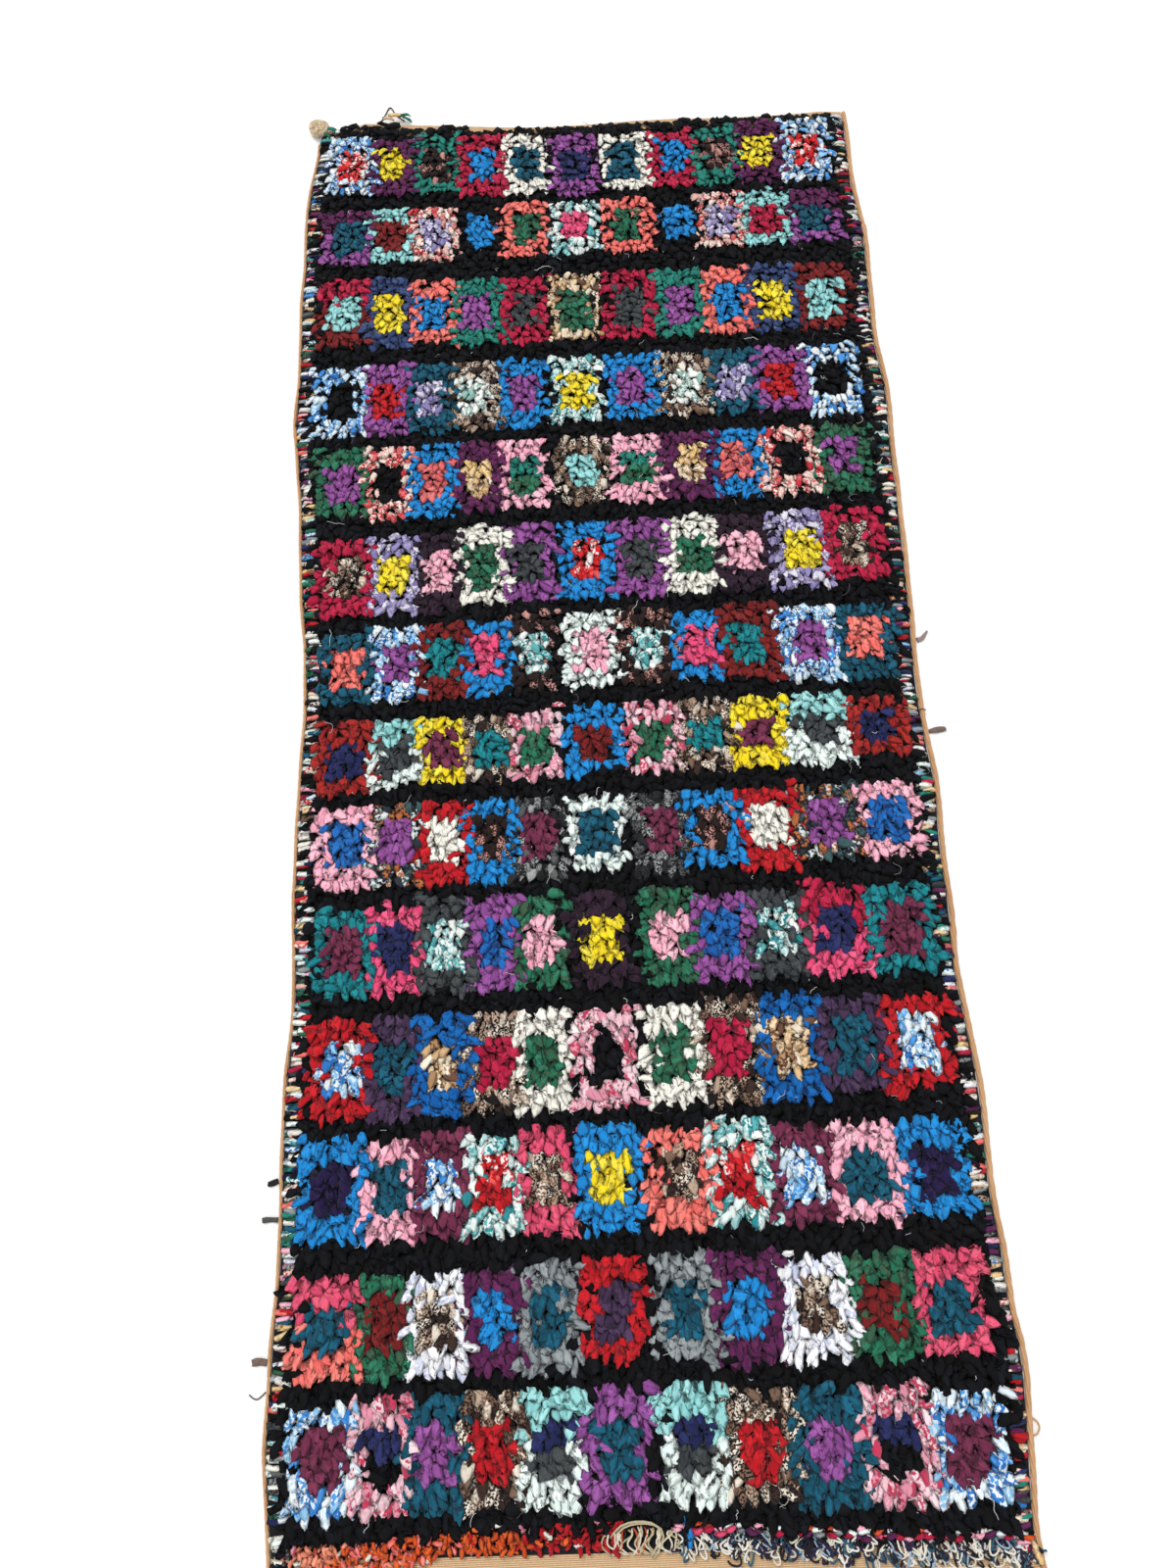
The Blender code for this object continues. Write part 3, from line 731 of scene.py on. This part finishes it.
for side, edge, outward in (("left", left_edge, -1), ("right", right_edge, 1)):
    turn_y = np.arange(edge[0, 1] + 0.012, edge[-1, 1] - 0.008, TURN_SPACING)
    turn_y = np.concatenate([turn_y, rng.uniform(turn_y[0], turn_y[-1], len(turn_y) // 2)])
    turn_y += rng.normal(0, 0.002, len(turn_y))
    upper = np.arange(len(turn_y)) >= len(turn_y) * 2 // 3
    turn_x = side_x(edge, turn_y) - outward * (0.027 + 0.006 * upper + rng.normal(0, 0.0012, len(turn_y)))
    choice = rng.integers(6, size=len(turn_y))
    batches = []
    for number, shape in enumerate(turn_shapes[side]):
        chosen = np.flatnonzero(choice == number)
        count = len(chosen)
        places = np.stack([turn_x[chosen], turn_y[chosen], 0.0012 * upper[chosen]], 1)
        yaw = outward * math.pi / 2 + rng.normal(0, 0.16, count)
        copied = copies(shape, places, yaw, np.zeros(count), rng.uniform(0.85, 1.05, count))
        copied[..., 2] = np.clip(copied[..., 2], 0.0012, 0.02)
        names = [TURN_RAGS[k] for k in rng.integers(len(TURN_RAGS), size=count)]
        picked = rag_colours(names, rng.integers(COLOUR_DRAWS, size=count),
                             rng.integers(COLOUR_DRAWS, size=count))
        batches.append((shape, copied, picked[:, 0] * 0.92, picked[:, 1], cloth_numbers(names)))
    add_rag_piece("weft_turns_" + side, batches)

# ---- Edge cords --------------------------------------------------------------------------------
# The outermost warps: four tan cotton strands laid together with a slow twist, one cord along each
# side. The right one is thicker and has two slubs, a small loop and a brown thread tied round it.
CORD_GAP = 0.0008
CORDS = (("left", left_edge, -1, 0.0035, 0.07), ("right", right_edge, 1, 0.0050, 0.11))
STRANDS, STRAND_STEP = 4, 0.010
SLUBS = {"left": ((-0.35, 1.25), (0.66, 1.3)), "right": ((1.13, 1.4), (-0.48, 1.3))}

# Undyed cotton cord: warm tan and matt, with fine yarns along each strand.
cord_cotton, cord_shader = new_material("undyed_cotton_cord")
place = add_node(cord_cotton, "ShaderNodeTexCoord")
yarns = add_node(cord_cotton, "ShaderNodeMapping", values={"Scale": (900.0, 60.0, 900.0)},
                 links={"Vector": place.outputs["Object"]})
yarn_noise = add_node(cord_cotton, "ShaderNodeTexNoise", values={"Scale": 1.0, "Detail": 2.0},
                      links={"Vector": yarns.outputs["Vector"]})
soil = add_node(cord_cotton, "ShaderNodeTexNoise", values={"Scale": 9.0, "Detail": 3.0},
                links={"Vector": place.outputs["Object"]})
yarn_colour = add_node(cord_cotton, "ShaderNodeMix", {"data_type": "RGBA"},
                       {"A": (*hex_colour("b98a5c"), 1.0), "B": (*hex_colour("edc79b"), 1.0)},
                       {"Factor": yarn_noise.outputs["Fac"]})
soiled = add_node(cord_cotton, "ShaderNodeMix", {"data_type": "RGBA", "blend_type": "MULTIPLY"},
                  {"B": (*hex_colour("cdb59c"), 1.0)},
                  {"Factor": soil.outputs["Fac"], "A": yarn_colour.outputs["Result"]})
yarn_bump = add_node(cord_cotton, "ShaderNodeBump", values={"Strength": 0.5, "Distance": 0.0006},
                     links={"Height": yarn_noise.outputs["Fac"]})
join_to_shader(cord_cotton, cord_shader, soiled.outputs["Result"], yarn_bump.outputs["Normal"])
cord_shader.inputs["Roughness"].default_value = 0.85


def cords_mesh(name, routes, sides_step):
    """Round cords along routes of (x, y, z, radius), as one mesh."""
    line = bpy.data.curves.new(name, "CURVE")
    line.dimensions = "3D"
    line.bevel_depth, line.bevel_resolution, line.use_fill_caps = 1.0, sides_step, True
    for route in routes:
        spline = line.splines.new("POLY")
        spline.points.add(len(route) - 1)
        for point, (x, y, z, radius) in zip(spline.points, route):
            point.co, point.radius = (x, y, z, 1.0), radius
    shaped = bpy.data.objects.new(name, line)
    mesh = bpy.data.meshes.new_from_object(shaped)
    bpy.data.objects.remove(shaped)
    bm = bmesh.new()
    bm.from_mesh(mesh)
    bmesh.ops.remove_doubles(bm, verts=bm.verts, dist=1e-5)
    bmesh.ops.recalc_face_normals(bm, faces=bm.faces)
    bm.to_mesh(mesh)
    bm.free()
    mesh.name = name
    mesh.shade_smooth()
    return mesh


for side, edge, outward, radius, lay in CORDS:
    y = np.arange(edge[0, 1] + 0.001, edge[-1, 1] - (0.036 if side == "left" else 0.001), STRAND_STEP)
    swell = np.ones(len(y))
    for at, size in SLUBS[side]:
        swell += (size - 1) * np.exp(-(((y - at) / 0.010) ** 2))
    routes = []
    for strand in range(STRANDS):
        turned = 2 * math.pi * (y / lay + strand / STRANDS) + 0.5 * np.sin(y * 23)
        middle = side_x(edge, y) + outward * (radius + CORD_GAP) + 0.0006 * np.sin(y * 41 + 1)
        x = middle + radius * 0.5 * np.cos(turned) * swell
        z = radius * (1.02 + 0.5 * np.sin(turned))
        routes.append(np.stack([x, y, z, np.full(len(y), radius * 0.5) * swell], 1))
    if side == "right":
        loop = smooth_route(((0.640, -1.286), (0.6485, -1.292), (0.6525, -1.301), (0.648, -1.311),
                             (0.641, -1.314)), 14)
        routes.append(np.column_stack([loop, np.linspace(0.006, 0.003, 14), np.full(14, 0.0016)]))
    mesh = cords_mesh("edge_cord_" + side + "_strands", routes, 1)
    mesh.materials.append(cord_cotton)
    piece = bpy.data.objects.new(mesh.name, mesh)
    put_in_scene(piece, ["edge_cord_" + side])

# The brown thread tied round the right cord.
around = np.linspace(0, 2 * math.pi, 14)
tie_x = float(side_x(right_edge, -0.038)) + 0.0050 + CORD_GAP
thread_route = [(tie_x + 0.0062 * math.cos(a), -0.038 + 0.002 * math.sin(a / 2),
                 0.0066 + 0.0054 * math.sin(a), 0.0009)
                for a in around]
mesh = cords_mesh("thread_round_cord", [np.array(thread_route)], 0)
mesh.materials.append(bpy.data.materials["spun_cotton_thread_loop"])
piece = bpy.data.objects.new("thread_round_cord", mesh)
put_in_scene(piece)

# ---- Corner knot -------------------------------------------------------------------------------
# At the head's left corner the warp ends are gathered and wound with a strip of beige calico into
# a flat round knot. A scrap of green jersey is caught under its right side.
KNOT_WINDS = 3
knot_low, knot_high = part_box("corner_knot")
knot_middle = (knot_low + knot_high) / 2
knot_reach = (knot_high - knot_low) / 2

bm = bmesh.new()
bmesh.ops.create_uvsphere(bm, u_segments=56, v_segments=28, radius=1.0)
for vert in bm.verts:
    x, y, z = vert.co
    across = math.hypot(x, y)
    wound = math.cos(2 * math.pi * KNOT_WINDS * across - math.atan2(y, x))
    flat_top = min(abs(z), 0.86) * (1 if z > 0 else -1)
    grow = 1 + 0.05 * wound * (across > 0.2) + 0.03 * math.sin(3 * math.atan2(y, x))
    vert.co = (
        knot_middle.x + knot_reach.x * x * grow,
        knot_middle.y + knot_reach.y * y * grow,
        max(0.0006, knot_middle.z + knot_reach.z * (flat_top + 0.12 * wound * (z > 0))),
    )
knot_mesh = bpy.data.meshes.new("wound_calico_knot")
bm.to_mesh(knot_mesh)
bm.free()
knot_mesh.shade_smooth()

# Calico: unbleached plain-woven cotton, beige and creased, its colour darker in the folds where the fold noise
# is low.
calico, calico_shader = new_material("unbleached_calico")
place = add_node(calico, "ShaderNodeTexCoord")
calico_folds = add_node(calico, "ShaderNodeTexNoise",
                        values={"Scale": 160.0, "Detail": 3.0, "Distortion": 1.2},
                        links={"Vector": place.outputs["Object"]})
calico_colour = add_node(calico, "ShaderNodeValToRGB", links={"Fac": calico_folds.outputs["Fac"]})
darker, lighter = calico_colour.color_ramp.elements
darker.position = 0.32
darker.color = (*hex_colour("8d7151"), 1)
lighter.position = 0.62
lighter.color = (*hex_colour("ddc9a8"), 1)
calico_bump = add_node(calico, "ShaderNodeBump", values={"Strength": 0.7, "Distance": 0.002},
                       links={"Height": calico_folds.outputs["Fac"]})
join_to_shader(calico, calico_shader, calico_colour.outputs["Color"], calico_bump.outputs["Normal"])
calico_shader.inputs["Roughness"].default_value = 0.9

knot_mesh.materials.append(calico)
knot = bpy.data.objects.new("wound_calico_knot", knot_mesh)
put_in_scene(knot, ["corner_knot"])

# ---- Head scraps -------------------------------------------------------------------------------
# Single bits of rag along the head end: the green scrap by the knot, and a tan bit of hem with a
# green scrap over it where the brown thread stands out. Each as (x, y, turn in degrees, rag, size).
SCRAPS = (
    (-0.586, 1.487, 70, "sea_green", 0.85), (-0.590, 1.474, 40, "bottle_green", 0.75),
    (-0.414, 1.512, 100, "bottle_green", 0.85),
    (-0.404, 1.508, 60, "sea_green", 0.7), (-0.452, 1.507, 80, "tan_print", 0.9),
    (-0.438, 1.514, 95, "tan", 0.9),
    (-0.424, 1.517, 75, "tan_print", 0.8), (0.061, -1.400, 10, "azure", 0.8),
    (0.063, -1.416, 14, "azure", 0.9),
    (0.065, -1.432, 4, "azure", 0.8), (0.614, -1.462, 12, "tan_print", 0.9),
    (0.616, -1.474, 20, "tan", 0.9),
    (0.598, -1.456, 80, "orange", 0.8), (0.590, -1.462, 85, "pink", 0.8),
    (0.596, -1.470, 80, "crimson", 0.7),
)
scrap_batches = []
for x, y, turned, rag, size in SCRAPS:
    picked = rag_colours([rag], [0], [1])
    shape = turn_shapes["right"][len(scrap_batches) % 6]
    copied = copies(shape, np.array([[x, y, 0.006]]), np.array([math.radians(turned)]), np.zeros(1),
                    np.array([size]))
    copied[..., 2] = np.clip(copied[..., 2], 0.005, 0.022)
    scrap_batches.append((shape, copied, picked[:, 0], picked[:, 1], cloth_numbers([rag])))
add_rag_piece("single_scraps", scrap_batches)

# ---- Foot band ---------------------------------------------------------------------------------
# Below the last black pile the foot has a narrow band of another make. Its left half is tight curls
# of orange rag, paler at the side. Its right half is loops of cream, black, purple and blue knitted
# string under a line of laid wefts. A bunch of beige string is knotted where the halves meet.
ORANGES = ("salmon", "salmon", "orange", "coral", "orange", "orange", "orange", "red")
BAND_STRINGS = ("f2ecdc e6dcc8 efe9da 15131a 1b1526 2e1d44 241a35 0f0e12 f4f0e6 d9d0bb "
                "9fb6c8 2f5f74 1f2a4c").split()


def black_foot_y(x):
    return np.interp(x, *zip(*BLACK_FOOT))


def string_batch(routes, radius, colours, sides=4):
    """Many like strings along routes of equally many points, as one batch for joined_mesh."""
    routes = np.asarray(routes, float)
    count, steps = routes.shape[:2]
    ahead = np.gradient(routes, axis=1)
    ahead /= np.linalg.norm(ahead, axis=2, keepdims=True) + 1e-12
    across = np.cross(ahead, (0.0, 0.0, 1.0)) + (0, 1e-6, 0)
    across /= np.linalg.norm(across, axis=2, keepdims=True)
    above = np.cross(across, ahead)
    turn = np.arange(sides) * 2 * math.pi / sides
    ring = across[:, :, None] * np.cos(turn)[:, None] + above[:, :, None] * np.sin(turn)[:, None]
    points = (routes[:, :, None] + ring * radius).reshape(count, steps * sides, 3)
    here = (np.arange(steps - 1)[:, None] * sides + np.arange(sides)).ravel()
    beside = (np.arange(steps - 1)[:, None] * sides + (np.arange(sides) + 1) % sides).ravel()
    walls = np.stack([here, here + sides, beside + sides, beside], 1).ravel()
    ends = np.concatenate([np.arange(sides), (steps - 1) * sides + np.arange(sides)[::-1]])
    faces = np.array([4] * len(here) + [sides] * 2)
    along = np.repeat(np.linspace(0, 0.1, steps), sides)
    shape = (points[0], np.concatenate([walls, ends]), faces,
             np.stack([np.tile(turn * radius, steps), along], 1))
    return shape, points, colours, colours, np.zeros(count, int)


curl_x = np.concatenate([np.arange(-0.600, -0.045, 0.0062) for _ in range(4)])
curl_layer = np.repeat(np.arange(4), len(curl_x) // 4)
curl_x = curl_x + rng.normal(0, 0.002, len(curl_x))
curl_y = black_foot_y(curl_x) + 0.007 - curl_layer * 0.0095 + rng.normal(0, 0.002, len(curl_x))
curl_y -= 0.008 * (curl_x < -0.35)
names = np.array(ORANGES, dtype=object)[np.clip(((curl_x + 0.62) / 0.3 * 5
                                                 + rng.normal(0, 0.9, len(curl_x))).astype(int), 0, 7)]
names[(rng.random(len(names)) < 0.10) & (curl_layer == 0)] = "pink_plush"
names[(rng.random(len(names)) < 0.03)] = "cream_white"
names[(curl_x < -0.585) & (rng.random(len(names)) < 0.6)] = "grey_fleck"
curl_shapes = [rag_shape(np.array((-2, 2, 6, 11, 15)) * MM, np.array((2.4, 3.4, 3.8, 3.4, 1.8)) * MM,
                         np.array((8, 11, 13, 13, 10)) * MM, 2.2 * MM, turn * 3 * MM, 2, 0.0012)
               for turn in (-1, 1, -1.5, 1.5)]
choice = rng.integers(4, size=len(curl_x))
batches = []
for number, shape in enumerate(curl_shapes):
    chosen = np.flatnonzero(choice == number)
    count = len(chosen)
    places = np.stack([curl_x[chosen], curl_y[chosen], np.zeros(count)], 1)
    copied = copies(shape, places, rng.normal(0, 0.9, count), rng.normal(0, 0.15, count),
                    rng.uniform(0.8, 1.2, count))
    copied[..., 2] = np.clip(copied[..., 2], 0.0046, 0.020)
    first = rng.integers(COLOUR_DRAWS, size=count)
    picked = rag_colours(names[chosen], first, first + 1)
    picked *= rng.uniform(0.75, 1.1, (count, 1, 1))
    batches.append((shape, copied, picked[:, 0], picked[:, 1], cloth_numbers(names[chosen])))

# The laid wefts above the strings, end to end along the foot of the black pile.
weft_x = np.arange(0.05, 0.60, 0.016)
for drop, group in ((0.004, "lined_white cream_white sky_print orange mint_white pink"),
                    (-0.003, "crimson pink crimson plum rose grey")):
    shape = rag_shape(np.array((-10, -5, 0, 5, 10)) * MM, np.array((3.0, 4.2, 4.4, 4.2, 2.6)) * MM,
                      np.array((8, 12, 13, 12, 8)) * MM, 2.0 * MM, 0.0, 2, 0.0012)
    count = len(weft_x)
    places = np.stack([weft_x + rng.normal(0, 0.004, count),
                       black_foot_y(weft_x) + drop + rng.normal(0, 0.002, count),
                       np.full(count, 0.001)], 1)
    copied = copies(shape, places, math.pi / 2 + rng.normal(0, 0.2, count), np.zeros(count),
                    rng.uniform(0.8, 1.15, count))
    copied[..., 2] = np.clip(copied[..., 2], 0.0046, 0.020)
    chosen_names = np.array(group.split())[rng.integers(6, size=count)]
    picked = rag_colours(chosen_names, np.zeros(count, int), np.ones(count, int))
    batches.append((shape, copied, picked[:, 0], picked[:, 1], cloth_numbers(chosen_names)))
add_rag_piece("foot_band_curls", batches)

LOOP_STEPS = 12
loop_count = 330
loop_x = rng.uniform(0.045, 0.618, loop_count)
loop_y = black_foot_y(loop_x) - rng.uniform(0.000, 0.030, loop_count)
along = np.linspace(0, 1, LOOP_STEPS)
width = rng.uniform(0.004, 0.011, loop_count) * rng.choice((-1, 1), loop_count)
drop = rng.uniform(0.010, 0.026, loop_count)
lean = rng.normal(0, 0.35, loop_count)
loop_high = rng.uniform(0.010, 0.0155, loop_count)
bow_x = width[:, None] * np.sin(2 * math.pi * along * rng.uniform(0.45, 0.8, loop_count)[:, None])
bow_y = -drop[:, None] * np.sin(math.pi * along * rng.uniform(0.6, 1.1, loop_count)[:, None])
routes = np.stack([
    loop_x[:, None] + bow_x * np.cos(lean)[:, None] - bow_y * np.sin(lean)[:, None],
    loop_y[:, None] + bow_x * np.sin(lean)[:, None] + bow_y * np.cos(lean)[:, None],
    0.0065 + (loop_high - 0.0065)[:, None] * np.sin(math.pi * np.clip(along * 1.05, 0, 1)) ** 0.6,
], axis=-1)
loop_colours = np.array([hex_colour(BAND_STRINGS[k])
                         for k in rng.integers(len(BAND_STRINGS), size=loop_count)])
string_batches = [string_batch(routes, 0.0017, loop_colours, 5)]

# The bunch of beige string: a knot at its head and a dozen ends that fall towards the foot.
bunch = []
for i in range(26):
    x = -0.066 + 0.105 * (i / 25) + rng.normal(0, 0.003)
    bunch.append(smooth_route([(x, -1.416 - 0.014 * abs(x + 0.01) / 0.06, 0.012),
                               (x + rng.normal(0, 0.004), -1.428, 0.0165),
                               (x + rng.normal(0, 0.006), -1.443, 0.014),
                               (x + rng.normal(0, 0.009), -1.458, 0.010)], LOOP_STEPS))
bunch_colours = np.array([hex_colour(("d8ccb0", "c8bb9a", "b5a883", "e6dcc6", "2a1e1c", "c8562e")[k])
                          for k in np.minimum(rng.integers(9, size=26), 5 - (rng.random(26) < 0.8) * 2)])
string_batches.append(string_batch(np.array(bunch), 0.0016, bunch_colours, 5))
over = smooth_route([(-0.062, -1.432, 0.012), (-0.045, -1.415, 0.018), (-0.020, -1.409, 0.0195),
                     (0.006, -1.412, 0.0195),
                     (0.020, -1.424, 0.018), (0.014, -1.444, 0.014), (0.002, -1.462, 0.010)], LOOP_STEPS)
string_batches.append(string_batch([over, over + (0.004, -0.003, -0.001)], 0.0017,
                                   np.array([hex_colour("c3b593")] * 2), 6))

# Knitted cotton string: matt and soft, with the small ribs of its plies.
string_cotton, string_shader = new_material("knitted_cotton_string")
string_map = add_node(string_cotton, "ShaderNodeUVMap", {"uv_map": "cloth"})
string_colour = add_node(string_cotton, "ShaderNodeVertexColor", {"layer_name": "rag_colour"})
plies = add_node(string_cotton, "ShaderNodeTexNoise", {"noise_dimensions": "2D"},
                 {"Scale": 700.0, "Detail": 2.0},
                 {"Vector": string_map.outputs["UV"]})
# Painted shade: the colour is darkened to 0.72 where the plies' noise is low, between the plies.
ply_shade = add_node(string_cotton, "ShaderNodeMapRange",
                     values={"From Min": 0.3, "From Max": 0.6, "To Min": 0.72},
                     links={"Value": plies.outputs["Fac"]})
ply_colour = add_node(string_cotton, "ShaderNodeVectorMath", {"operation": "SCALE"},
                      links={"Vector": string_colour.outputs["Color"],
                             "Scale": ply_shade.outputs["Result"]})
ply_bump = add_node(string_cotton, "ShaderNodeBump", values={"Strength": 0.6, "Distance": 0.001},
                    links={"Height": plies.outputs["Fac"]})
join_to_shader(string_cotton, string_shader, ply_colour.outputs["Vector"], ply_bump.outputs["Normal"])
string_shader.inputs["Roughness"].default_value = 0.9

mesh = joined_mesh("foot_band_strings", string_batches)
mesh.materials.append(string_cotton)
piece = bpy.data.objects.new("foot_band_strings", mesh)
put_in_scene(piece)

# ---- Free rag ends -----------------------------------------------------------------------------
# Five ends of rag weft that stick out past the sides, each a strip of worn cloth about 2 mm thick
# that lies on the floor. Given by the two long edges, from the cord outwards, and by their rags.
FREE_ENDS = (
    ("tie_left_black", "black", 0.010, 0.021, ((-0.6197, -0.8662), (-0.628, -0.8698), (-0.6384, -0.8718)),
     ((-0.6228, -0.8578), (-0.6311, -0.8602), (-0.6407, -0.8642))),
    ("tie_left_brown", "worn_brown", 0.0115, 0.026,
     ((-0.6313, -1.1589), (-0.6425, -1.158), (-0.6559, -1.1585)),
     ((-0.6296, -1.1491), (-0.6421, -1.146), (-0.6567, -1.1475))),
    ("tie_left_grey", "worn_grey", 0.010, 0.028, ((-0.6199, -0.931), (-0.634, -0.93), (-0.6477, -0.9315)),
     ((-0.6194, -0.923), (-0.634, -0.922), (-0.6483, -0.9225))),
    ("tie_right_lower", "worn_brown", 0.011, 0.036,
     ((0.6284, -0.078), (0.6454, -0.072), (0.6639, -0.074)),
     ((0.6295, -0.084), (0.6467, -0.084), (0.6642, -0.080))),
    ("tie_right_upper", "worn_purple", 0.010, 0.034,
     ((0.6285, 0.1187), (0.6388, 0.1211), (0.6522, 0.1339)),
     ((0.6319, 0.1093), (0.6439, 0.1149), (0.6545, 0.1321))),
)
WORN = {"black": ("101012", "1b1b1e"), "worn_brown": ("4a3a33", "8a7568"),
        "worn_grey": ("3a3a3a", "55544f"),
        "worn_purple": ("3a2440", "b9a59a")}
for name, rag, wide, long, near, far in FREE_ENDS:
    near, far = smooth_route(near, 9), smooth_route(far, 9)
    bm = bmesh.new()
    bmesh.ops.create_grid(bm, x_segments=4, y_segments=8, size=0.5)
    for vert in bm.verts:
        row, across = round((vert.co.y + 0.5) * 8), vert.co.x + 0.5
        x, y = near[row] * (1 - across) + far[row] * across
        fray = rng.normal(0, 0.0006) * (row > 5)
        lift = 0.0022 + 0.0012 * math.sin(math.pi * across) + 0.0010 * math.sin(row * 1.3 + across * 4)
        vert.co = (x + fray, y + fray, lift)
    cloth_mesh = bpy.data.meshes.new(name + "_rag")
    bm.to_mesh(cloth_mesh)
    bm.free()
    # Worn cotton rag: dull and faded, with a coarse weave and pale wear.
    worn_rag, worn_shader = new_material(rag + "_cotton_of_" + name)
    place = add_node(worn_rag, "ShaderNodeTexCoord")
    wear = add_node(worn_rag, "ShaderNodeTexNoise", values={"Scale": 320.0, "Detail": 3.0},
                    links={"Vector": place.outputs["Object"]})
    dark, pale = WORN[rag]
    worn_colour = add_node(worn_rag, "ShaderNodeMix", {"data_type": "RGBA"},
                           {"A": (*hex_colour(dark), 1.0), "B": (*hex_colour(pale), 1.0)},
                           {"Factor": wear.outputs["Fac"]})
    worn_bump = add_node(worn_rag, "ShaderNodeBump", values={"Strength": 0.6, "Distance": 0.001},
                         links={"Height": wear.outputs["Fac"]})
    join_to_shader(worn_rag, worn_shader, worn_colour.outputs["Result"], worn_bump.outputs["Normal"])
    worn_shader.inputs["Roughness"].default_value = 0.95
    cloth_mesh.materials.append(worn_rag)
    cloth_mesh.shade_smooth()
    rag_end = bpy.data.objects.new(name + "_rag", cloth_mesh)
    thickness = rag_end.modifiers.new("cloth_thickness", "SOLIDIFY")
    thickness.thickness, thickness.offset = 0.0016, 0.0
    put_in_scene(rag_end, [name])

# ---- Lint and thread ends ----------------------------------------------------------------------
# Short white and grey threads and lint that cling to the pile, most of all to the black.
LINT_STEPS, LINT_COUNT = 8, 170
LINT_COLOURS = "f2f2f2 e4e4e4 bdbdbd 8f8f92 ded6c6 c6ced6 f2f2f2 6a5560".split()
lint_spots = rng.choice(np.flatnonzero(is_black), LINT_COUNT * 3 // 4, replace=False)
lint_spots = np.concatenate([lint_spots,
                             rng.choice(len(knot_x), LINT_COUNT - len(lint_spots), replace=False)])
lint_length = rng.gamma(2.2, 0.0075, LINT_COUNT).clip(0.005, 0.045)
lint_start = rng.uniform(0, 2 * math.pi, LINT_COUNT)[:, None]
lint_turn = lint_start + np.cumsum(rng.normal(0, 0.55, (LINT_COUNT, LINT_STEPS)), axis=1)
lint_run = np.stack([np.cos(lint_turn), np.sin(lint_turn)],
                    -1) * (lint_length / LINT_STEPS)[:, None, None]
lint_flat = np.cumsum(lint_run, axis=1) + np.stack([knot_x[lint_spots], knot_y[lint_spots]], 1)[:, None]
lint_high = 0.0185 + 0.002 * np.sin(np.linspace(0, math.pi,
                                                LINT_STEPS)) + rng.uniform(0, 0.0025, (LINT_COUNT, 1))
routes = np.concatenate([lint_flat, lint_high[..., None]], axis=2)
lint_colours = np.array([hex_colour(LINT_COLOURS[k])
                         for k in rng.integers(len(LINT_COLOURS), size=LINT_COUNT)])
mesh = joined_mesh("lint_and_thread_ends", [string_batch(routes, 0.00055, lint_colours, 3)])
mesh.materials.append(string_cotton)
piece = bpy.data.objects.new("lint_and_thread_ends", mesh)
put_in_scene(piece)
